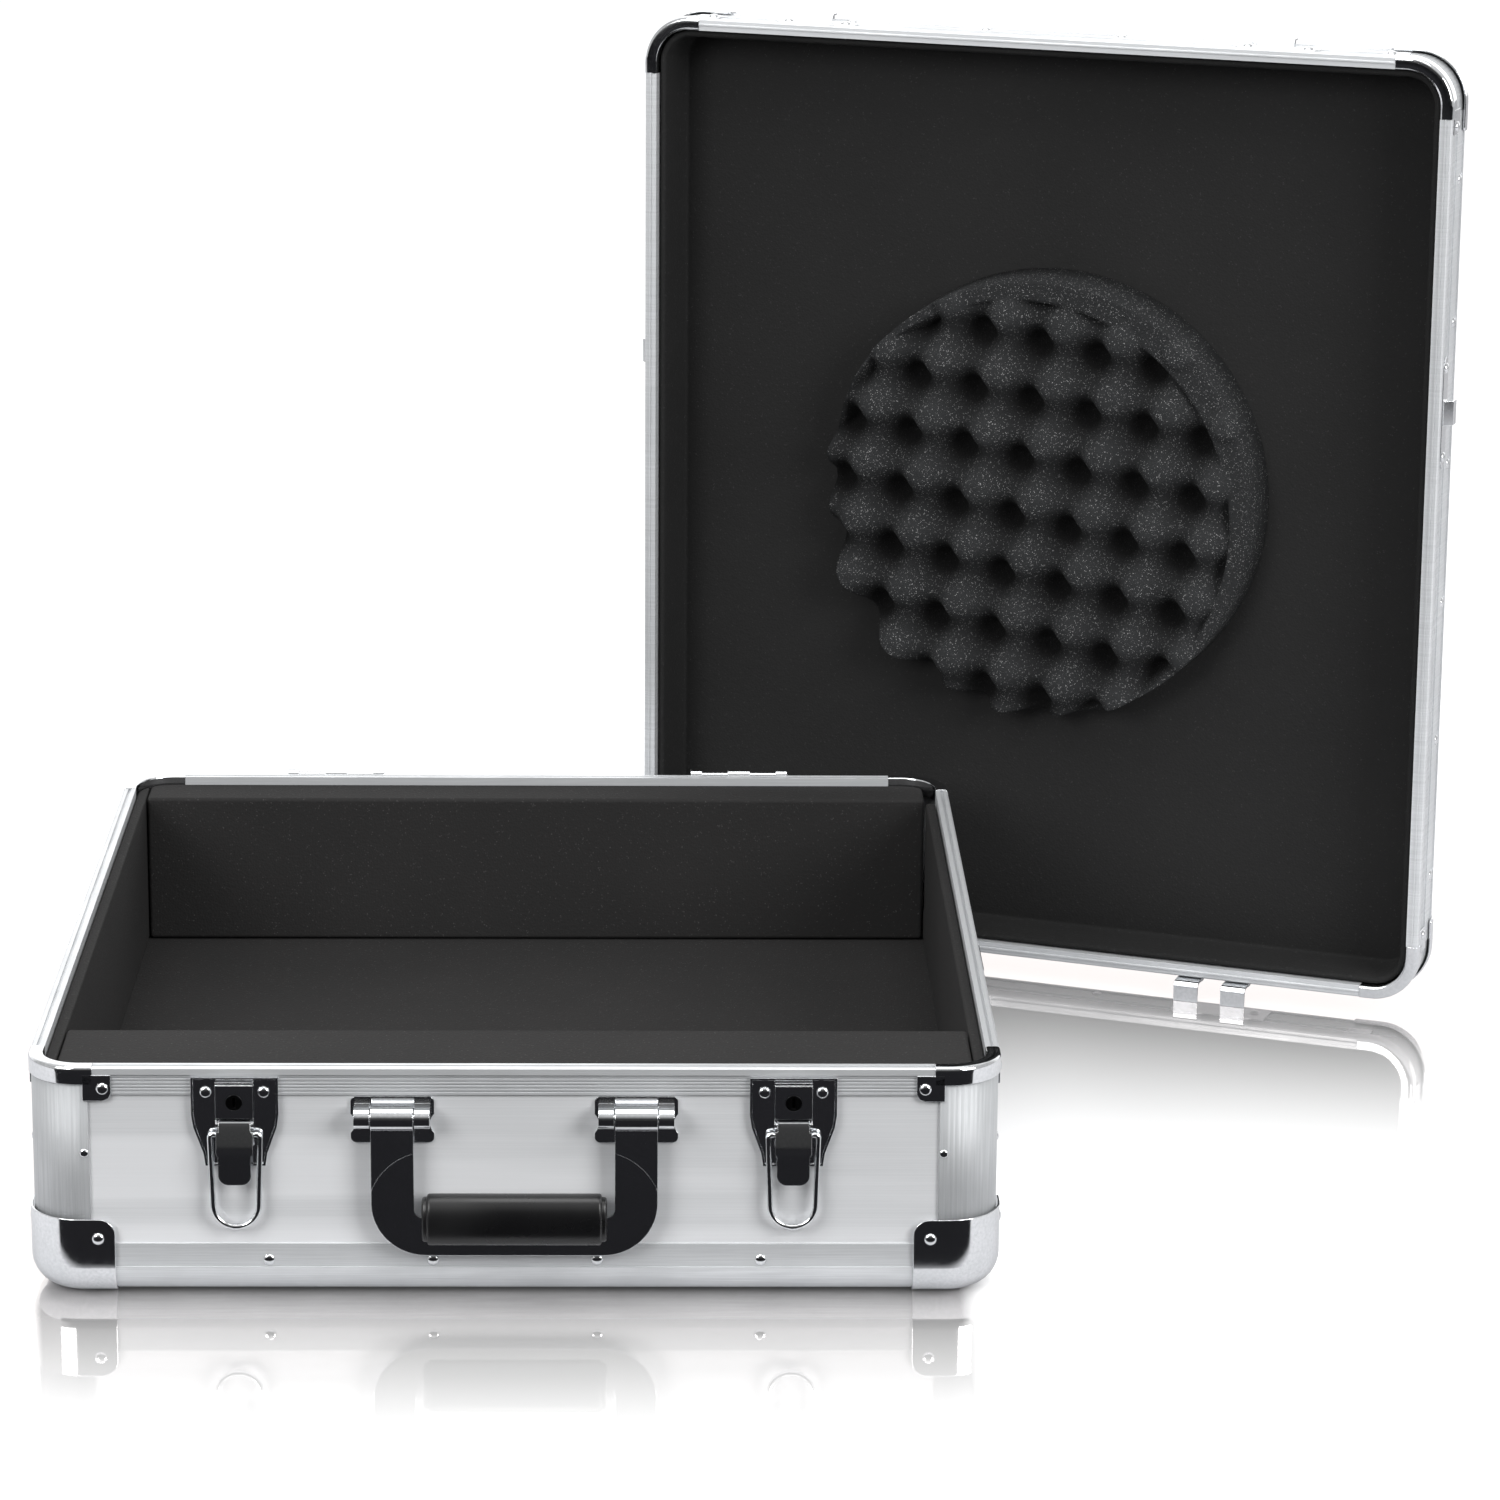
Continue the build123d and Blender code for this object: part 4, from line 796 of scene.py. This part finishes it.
for body, heads in heads_of.items():
    points = empty_piece(f"{body}_rivet_heads", [head[0] for head in heads])
    outward = points.data.attributes.new("outward", "FLOAT_VECTOR", "POINT")
    sizes = points.data.attributes.new("sizes", "FLOAT_VECTOR", "POINT")
    for i, (place, direction, radius, crown) in enumerate(heads):
        outward.data[i].vector = direction
        sizes.data[i].vector = (radius, radius, crown)
    run_group(points, group, Segments=24)
    stand_in(points, f"{body}_rivets", body)
    print(body, "rivets:", len(heads))

# %% [markdown]
# ## Bright metal with finer curves
# The ball corners, rim caps and bails are made again with smooth curves, because chrome shows
# every facet. A pressed piece is a skin that is drawn once and then given its thickness.

# %% Ball corners


def corner_frame(tray_frame, corner, height):
    """At a tray's sharp bottom corner: x and y run inward along the walls, z to the rim."""
    sign_x, sign_y = QUARTERS[corner]
    turn = Matrix.Rotation(math.radians(90 * (corner - 2)), 4, "Z")
    place = Matrix.Translation((sign_x * width / 2, sign_y * depth / 2, -height))
    return tray_frame @ place @ turn


def plan_path(leaf, radius, steps=14):
    """Points along an L with a round corner, and the inward direction at each."""
    path = [((leaf, 0.0), (0.0, 1.0))]
    for step in range(steps + 1):
        turn = math.radians(270 - 90 * step / steps)
        inward = (-math.cos(turn), -math.sin(turn))
        path.append(((radius - radius * inward[0], radius - radius * inward[1]), inward))
    path.append(((0.0, leaf), (1.0, 0.0)))
    return path


def ball_corner(bm, frame_at, leaf_height, leaf=43 * MM, nose=15 * MM):
    """One pressed corner's outer skin: upright, then round the nose, then flat below."""
    path = plan_path(leaf + sheet, corner_radius + sheet)
    shift = Vector((-sheet, -sheet, -sheet))
    profile = [(0.0, leaf_height + sheet), (0.0, (leaf_height + nose) / 2)]
    reach, nose_steps = nose + sheet, 10
    for step in range(nose_steps + 1):
        turn = math.radians(90 * step / nose_steps)
        profile.append((reach * (1 - math.cos(turn)), reach * (1 - math.sin(turn))))
    rows = []
    for inset, level in profile:
        points = [(x + inset * in_x, y + inset * in_y, level) for (x, y), (in_x, in_y) in path]
        rows.append([bm.verts.new(frame_at @ (Vector(point) + shift)) for point in points])
    for first, second in zip(rows, rows[1:]):
        for i in range(len(path) - 1):
            bm.faces.new((first[i], first[i + 1], second[i + 1], second[i]))
    far = bm.verts.new(frame_at @ (Vector((leaf + sheet, leaf + sheet, 0)) + shift))
    bm.faces.new(rows[-1] + [far])


def pressed_piece(name, bm, node_name, body, round_leaf):
    """Give a skin its thickness and soft edges, and let it stand for its CAD node."""
    corners = [v for v in bm.verts if len(v.link_edges) == 2 and v.is_boundary]
    bmesh.ops.bevel(bm, geom=corners, offset=round_leaf, segments=6, affect="VERTICES", profile=0.5)
    piece = mesh_object(name, bm, chrome)
    thickness = piece.modifiers.new("sheet", "SOLIDIFY")
    thickness.thickness, thickness.offset = sheet, -1
    stand_in(soften(piece, 0.4 * MM), node_name, body)


# each body's node, and its leaves' height and the rounding of their corners
leaves = {"base": ("ball_corners", 40, 8), "lid": ("lid_ball_corners", 19, 2.5)}
for body, tray_frame, height in trays:
    node_name, leaf_height, leaf_round = leaves[body]
    bm = bmesh.new()
    for corner in range(len(QUARTERS)):
        ball_corner(bm, corner_frame(tray_frame, corner, height), leaf_height * MM)
    pressed_piece(f"{body}_corner_shells", bm, node_name, body, leaf_round * MM)
print("ball corners made")

# %% [markdown]
# A rim cap is a round bead with a band below it, carried round the corner, and a riveted tab at
# each end of it.

# %% Rim caps
# how far in from the outer face and up from the rim, and later the lap, in millimetres
bead = [(-0.5, -3.7), (-0.5, -1.9), (-0.35, -1.0), (0.05, -0.2), (0.7, 0.3), (1.6, 0.5), (5.4, 0.5)]
inside = [(6.6, 0.2), (7.0, -0.6), (7.0, -9.0), (6.0, -9.0), (6.0, -2.8), (2.0, -2.8), (2.0, -4.0)]
band = [(0.8, -4.0), (0.8, -9.0), (-0.1, -9.0), (-0.4, -8.7), (-0.4, -4.2)]
section = [(inset * MM, level * MM) for inset, level in bead + inside + band]
cap_steps, cap_lap = 18, 6.5
# along from the wall's end and up from the rim, in millimetres
tab = [(-42.5, -4.0), (-42.5, -13.3), (-41.3, -16.1), (-38.5, -17.3), (-28.5, -17.3), (-28.5, -4.0)]
for body, tray_frame, height in trays:
    bm = bmesh.new()
    for corner in range(len(QUARTERS)):
        centre = round_centre(corner)
        arc = [(90 * step / cap_steps, 0.0) for step in range(cap_steps + 1)]
        loops = []
        for turn, shift in [(0.0, -cap_lap)] + arc + [(90.0, cap_lap)]:
            out, run = out_and_along(math.radians(90 * corner + turn))
            loop = []
            for inset, level in section:
                point = centre + out * (corner_radius - inset) + run * shift * MM
                loop.append(tray_frame @ (point + Vector((0, 0, level))))
            loops.append(loop)
        stack(bm, loops)
    for facing in wall_reach:
        face = wall(tray_frame, facing)
        for side in (-1, 1):
            outline = [((wall_end[facing] + x * MM) * side, y * MM) for x, y in tab]
            faces = board_face, tab_face
            stack(bm, [[face @ Vector((x, y, out)) for x, y in outline] for out in faces])
    caps = mesh_object(f"{body}_rim_caps", bm, chrome)
    soften(caps, 0.35 * MM, segments=2)
    stand_in(caps, "rim_corner_caps" if body == "base" else "lid_rim_caps", body)
print("rim caps made")

# %% [markdown]
# A bail is round wire. Its path is a long loop with both ends turned in to the lever's cheeks,
# and the wire's two ends meet in a small weld at the foot of the loop.

# %% Bails


def tube(bm, path, radii, sides=20):
    """A round bar along a path in one plane, with flat ends."""
    across = (path[1] - path[0]).cross(path[len(path) // 2] - path[0]).normalized()
    turns = [math.tau * k / sides for k in range(sides)]
    loops = []
    for i, point in enumerate(path):
        ahead = path[min(i + 1, len(path) - 1)] - path[max(i - 1, 0)]
        side = ahead.normalized().cross(across)
        ring = [side * math.cos(t) + across * math.sin(t) for t in turns]
        loops.append([point + radii[i] * spoke for spoke in ring])
    stack(bm, loops)


def rounded_path(points, radius, steps=6):
    """A path with each of its corners replaced by a short arc."""
    path = [points[0]]
    for before, corner, after in zip(points, points[1:], points[2:]):
        one, other = (before - corner).normalized(), (after - corner).normalized()
        for step in range(steps + 1):
            share = step / steps
            path.append(corner + one * radius * (1 - share) ** 2 + other * radius * share**2)
    return path + [points[-1]]


wire, weld = 1.4 * MM, 1.18
axis_drop, foot_drop, foot_radius = 33.4 * MM, 70.2 * MM, 11.2 * MM
cheek, top_half, wire_out, bend = 7.64 * MM, 12.4 * MM, 3.2 * MM, 2.2 * MM
foot_steps = 28
for place, (facing, along) in latches.items():
    face = wall(base_frame, facing, along) @ Matrix.Translation((0, 0, wire_out))
    ends = ((-cheek, -axis_drop, 0), (-top_half, -axis_drop, 0), (-foot_radius, -foot_drop, 0))
    half = rounded_path([Vector(end) for end in ends], bend)
    turns = [math.radians(180 + 180 * k / foot_steps) for k in range(1, foot_steps)]
    foot = [
        Vector((foot_radius * math.cos(t), foot_radius * math.sin(t) - foot_drop, 0)) for t in turns
    ]
    other = [Vector((-p.x, p.y, 0)) for p in reversed(half)]
    local = half + foot + other
    weld_line = -foot_drop - foot_radius + 0.12 * MM
    radii = [wire * (weld if p.y < weld_line else 1.0) for p in local]
    bm = bmesh.new()
    tube(bm, [face @ p for p in local], radii)
    loop = soften(mesh_object(f"bail_wire_{place}", bm, chrome))
    stand_in(loop, f"latch_bail_{place}", f"bail_{place}")
print("bails made")

# %% [markdown]
# The grip is an oval bar with a slightly raised collar at each end and rounded rims.

# %% Grip
grip_out, grip_drop = 7.6 * MM, 75.9 * MM
half_thick, half_tall, half_long = 8.5 * MM, 13 * MM, 45.5 * MM
squareness, grip_sides = 0.88, 64
# how far in from the end, and how much thinner than the middle, in millimetres
rim = [(0, 3.4), (0.3, 2.2), (1, 1.7), (2.2, 1.6), (2.5, 1.5), (2.9, 0.4), (3.6, 0.06), (4.6, 0)]
stations = [(-half_long + a * MM, s * MM) for a, s in rim]
stations += [(-x, shrink) for x, shrink in reversed(stations)]
face = wall(base_frame, FRONT)
bm = bmesh.new()
loops = []
for along, shrink in stations:
    loop = []
    for k in range(grip_sides):
        t = math.tau * k / grip_sides
        up = math.copysign(abs(math.sin(t)) ** squareness, math.sin(t)) * (half_tall - shrink)
        out = math.copysign(abs(math.cos(t)) ** squareness, math.cos(t)) * (half_thick - shrink)
        loop.append(face @ Vector((along, up - grip_drop, out + grip_out)))
    loops.append(loop)
stack(bm, loops)
grip = soften(mesh_object("moulded_grip", bm, grip_plastic))
stand_in(grip, "handle_grip", "handle")
print("grip made")

# %% [markdown]
# The other pressed and forged pieces keep their CAD form, but are made again with rounded edges,
# because a bright line along each edge is what makes chrome read as chrome.

# %% Rounded edges
edges = {
    "latch_plate": (0.6 * MM, chrome),
    "handle_mount": (0.5 * MM, chrome),
    "handle_bow": (0.5 * MM, chrome),
    "latch_lever": (0.5 * MM, chrome),
    # the lock plug's near-black steel is painted keyhole shade
    "lock_plug": (0.2 * MM, keyhole_shade_steel),
    "keepers": (0.25 * MM, chrome),
    "hinge_hooks": (0.25 * MM, chrome),
    "base_hinge": (0.25 * MM, chrome),
}
for name in sorted(nodes):
    for start, (edge, material) in edges.items():
        if not name.startswith(start):
            continue
        bm = bmesh.new()
        bm.from_mesh(nodes[name].data)
        bmesh.ops.remove_doubles(bm, verts=bm.verts, dist=1e-6)
        bmesh.ops.dissolve_limit(bm, angle_limit=math.radians(1), verts=bm.verts, edges=bm.edges)
        piece = soften(mesh_object(f"{name}_rounded", bm, material), edge, angle=35)
        stand_in(piece, name, body_of(nodes[name])[0])
print("rounded pieces made")

# %% [markdown]
# A corner post is a quarter-round extrusion with fine shallow ribs. Its ribs are 2.6 mm apart and
# only a tenth of a millimetre deep, so they show as faint upright lines.

# %% Corner posts
rib_pitch, rib_depth = 2.6 * MM, 0.11 * MM
post_radius, flange = corner_radius - 0.8 * MM, 4 * MM
steps, flange_steps = 120, 8
for body, tray_frame, height in trays:
    bm = bmesh.new()
    for corner in range(len(QUARTERS)):
        centre = round_centre(corner)
        outside, inner_side = [], []
        for step in range(-flange_steps, steps + flange_steps + 1):
            share = min(max(step / steps, 0.0), 1.0)
            turn = share * math.pi / 2
            beyond = (step / steps - share) * flange * steps / flange_steps
            out, run = out_and_along(math.radians(90 * corner) + turn)
            rib = rib_depth * (1 - math.cos(math.tau * turn * post_radius / rib_pitch)) ** 2 / 4
            outside.append(centre + out * (post_radius - rib) + run * beyond)
            inner_side.append(centre + out * (post_radius - sheet) + run * beyond)
        outline = outside + inner_side[::-1]
        levels = (-height + 15 * MM, -4 * MM)
        stack(bm, [[tray_frame @ (p + Vector((0, 0, z))) for p in outline] for z in levels])
    post = soften(mesh_object(f"{body}_ribbed_posts", bm, post_metal))
    node_name = "corner_posts" if body == "base" else "lid_corner_posts"
    stand_in(post, node_name, body)
print("posts made")

# %% [markdown]
# ## Camera, floor and light
# The camera stands where the photograph's camera stood, found by fitting the edges of both
# trays. The floor is a white glossy sheet whose mirror image fades with distance.

# %% Camera
camera_place = Vector((65.4, -2730.4, 939.3)) * MM
camera_yaw, camera_pitch, camera_roll = (math.radians(a) for a in (1.14, 15.01, 0.43))
forward = Vector(
    (
        math.sin(camera_yaw) * math.cos(camera_pitch),
        math.cos(camera_yaw) * math.cos(camera_pitch),
        -math.sin(camera_pitch),
    )
)
level_right = Vector((math.cos(camera_yaw), -math.sin(camera_yaw), 0))
level_up = level_right.cross(forward)
camera_right = level_right * math.cos(camera_roll) + level_up * math.sin(camera_roll)
camera_up = level_up * math.cos(camera_roll) - level_right * math.sin(camera_roll)
lens = bpy.data.cameras.new("camera")
focal_pixels, picture_pixels = 5279, 1500
lens.sensor_width = 36.0
lens.lens = lens.sensor_width * focal_pixels / picture_pixels
lens.clip_end = 30.0
camera = new_object("camera", lens)
camera.matrix_world = (
    Matrix.Translation(camera_place)
    @ Matrix((camera_right, camera_up, -forward)).transposed().to_4x4()
)
bpy.context.scene.camera = camera
print("lens:", round(lens.lens, 1), "mm")

# %% [markdown]
# The mirror image is strongest at the foot of each tray and fades before and behind it. Only the
# camera sees this floor. Every other ray meets a plain grey table with a dark patch in front of
# the case, because the chrome in the photograph mirrors one.

# %% Floor
floor_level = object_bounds()[0][2]
floor_half = 6.0
base_reach, lid_reach = 410 * MM, 400 * MM
mirror_share, mirror_falloff = 0.88, 1.15
patch_edge, patch_spread = 14 * MM, 1.6
front, rear, side = -depth / 2, depth / 2, width / 2
bm = bmesh.new()
bmesh.ops.create_grid(bm, x_segments=1, y_segments=1, size=floor_half)
bmesh.ops.translate(bm, verts=bm.verts, vec=(0, 0, floor_level - 0.05 * MM))
floor_material, tree, place = new_material("white_glossy_floor")
split = add_node(tree, SPLIT, Vector=place).node.outputs
before_base = add_node(tree, RANGE, Value=split["Y"], From_Min=front - base_reach, From_Max=front)
behind_base = add_node(tree, RANGE, Value=split["Y"], From_Min=rear + base_reach, From_Max=rear)
base_fade = add_node(tree, MATHS, MULTIPLY, in0=before_base, in1=behind_base)
dot = {"operation": "DOT_PRODUCT"}
lid_foot = (lid_x, lid_y, 0)
from_lid = add_node(tree, VECTOR, SUBTRACT, in0=place, in1=lid_foot)
out_of_lid = add_node(tree, VECTOR, dot, output="Value", in0=from_lid, in1=lid_out)
before_lid = add_node(tree, RANGE, Value=out_of_lid, From_Min=lid_reach, From_Max=0.0)
behind_lid = add_node(tree, RANGE, Value=out_of_lid, From_Min=-lid_reach, From_Max=-lid_height)
lid_fade = add_node(tree, MATHS, MULTIPLY, in0=before_lid, in1=behind_lid)
right_of_base = add_node(tree, RANGE, Value=split["X"], From_Min=side - 20 * MM, From_Max=side)
lid_share = add_node(tree, MATHS, MULTIPLY, in0=lid_fade, in1=right_of_base)
left_of_lid = add_node(tree, MATHS, SUBTRACT, in0=1.0, in1=right_of_base)
base_share = add_node(tree, MATHS, MULTIPLY, in0=base_fade, in1=left_of_lid)
share = add_node(tree, MATHS, LARGEST, in0=base_share, in1=lid_share)
share = add_node(tree, MATHS, {"operation": "POWER"}, in0=share, in1=mirror_falloff)
share = add_node(tree, MATHS, MULTIPLY, in0=share, in1=mirror_share)
lit = add_node(tree, "ShaderNodeBsdfDiffuse", Color=linear("#F4F4F4"))
glow = add_node(tree, "ShaderNodeEmission", Color=(1, 1, 1, 1), Strength=0.3)
white = add_node(tree, "ShaderNodeAddShader", in0=lit, in1=glow)
gloss = add_node(tree, "ShaderNodeBsdfGlossy", Color=(0.66, 0.63, 0.62, 1), Roughness=0.02)
shown = add_node(tree, "ShaderNodeMixShader", in0=share, in1=white, in2=gloss)
in_front = add_node(
    tree, RANGE, Value=split["Y"], From_Min=front - 32 * MM, From_Max=front - 46 * MM
)
aside = add_node(tree, MATHS, {"operation": "ABSOLUTE"}, in0=split["X"])
edge_at = side - patch_edge + patch_spread * front
slope = {"operation": "MULTIPLY_ADD"}
reach = add_node(tree, MATHS, slope, in0=split["Y"], in1=-patch_spread, in2=edge_at)
margin = add_node(tree, MATHS, SUBTRACT, in0=reach, in1=aside)
between = add_node(tree, RANGE, Value=margin, From_Min=0.0, From_Max=patch_edge)
distant = add_node(tree, RANGE, Value=split["Y"], From_Min=-0.8, From_Max=-1.1)
either = add_node(tree, MATHS, LARGEST, in0=between, in1=distant)
dim = add_node(tree, MATHS, MULTIPLY, in0=in_front, in1=either)
table_grey, patch_black = linear("#C6C6C8"), linear("#1A1A1C")
table = add_node(tree, MIX, COLOURS, output=2, in0=dim, in6=table_grey, in7=patch_black)
plain = add_node(tree, "ShaderNodeBsdfDiffuse", Color=table)
seen = add_node(tree, "ShaderNodeLightPath", output="Is Camera Ray")
surface = add_node(tree, "ShaderNodeMixShader", in0=seen, in1=plain, in2=shown)
add_node(tree, OUTPUT, Surface=surface)
floor = mesh_object("floor", bm, floor_material, smooth=False)
print("floor at", round(floor_level / MM, 2), "mm")

# %% [markdown]
# Chrome shows whatever stands round it. The world is white to the camera. To every other ray it
# is a dark room that is bright behind the case, and less so above it and at its sides, and three
# soft boxes light the case from the front and from above.

# %% World and lamps
world = bpy.data.worlds.new("studio")
bpy.context.scene.world = world
world.use_nodes = True
tree = world.node_tree
tree.nodes.clear()
direction = add_node(tree, "ShaderNodeTexCoord", output="Generated")
split = add_node(tree, SPLIT, Vector=direction).node.outputs
to_z, to_y = split["Z"], split["Y"]
upward = add_node(tree, RANGE, Value=to_z, From_Min=0.25, From_Max=0.75, To_Min=0.05, To_Max=0.8)
rearward = add_node(tree, RANGE, Value=to_y, From_Min=0.1, From_Max=0.8, To_Max=1.6)
aside = add_node(tree, MATHS, {"operation": "ABSOLUTE"}, in0=split["X"])
sideward = add_node(tree, RANGE, Value=aside, From_Min=0.5, From_Max=0.85, To_Max=0.6)
brightest = add_node(tree, MATHS, LARGEST, in0=upward, in1=rearward)
brightest = add_node(tree, MATHS, LARGEST, in0=brightest, in1=sideward)
white_light = (1, 1, 1, 1)
room = add_node(tree, "ShaderNodeBackground", Color=white_light, Strength=brightest)
backdrop = add_node(tree, "ShaderNodeBackground", Color=white_light, Strength=1.0)
seen = add_node(tree, "ShaderNodeLightPath", output="Is Camera Ray")
mix = add_node(tree, "ShaderNodeMixShader", in0=seen, in1=room, in2=backdrop)
add_node(tree, "ShaderNodeOutputWorld", Surface=mix)


def soft_box(name, place, size_x, size_y, power):
    """A rectangular lamp that faces the middle of the case."""
    lamp = bpy.data.lights.new(name, "AREA")
    lamp.shape = "RECTANGLE"
    lamp.size, lamp.size_y, lamp.energy = size_x, size_y, power
    box = new_object(name, lamp)
    box.location = place
    box.rotation_euler = (case_middle - Vector(place)).to_track_quat("-Z", "Y").to_euler()


case_middle = Vector((0.1, 0.0, 0.15))
soft_box("front_left_box", (-1.7, -2.0, 1.5), 1.4, 1.4, 48)
soft_box("front_right_box", (1.9, -1.8, 1.3), 1.2, 1.4, 54)
soft_box("top_box", (0.0, -0.3, 2.4), 2.0, 1.6, 30)
bpy.context.scene.view_settings.view_transform = "Standard"
print("lamps made")
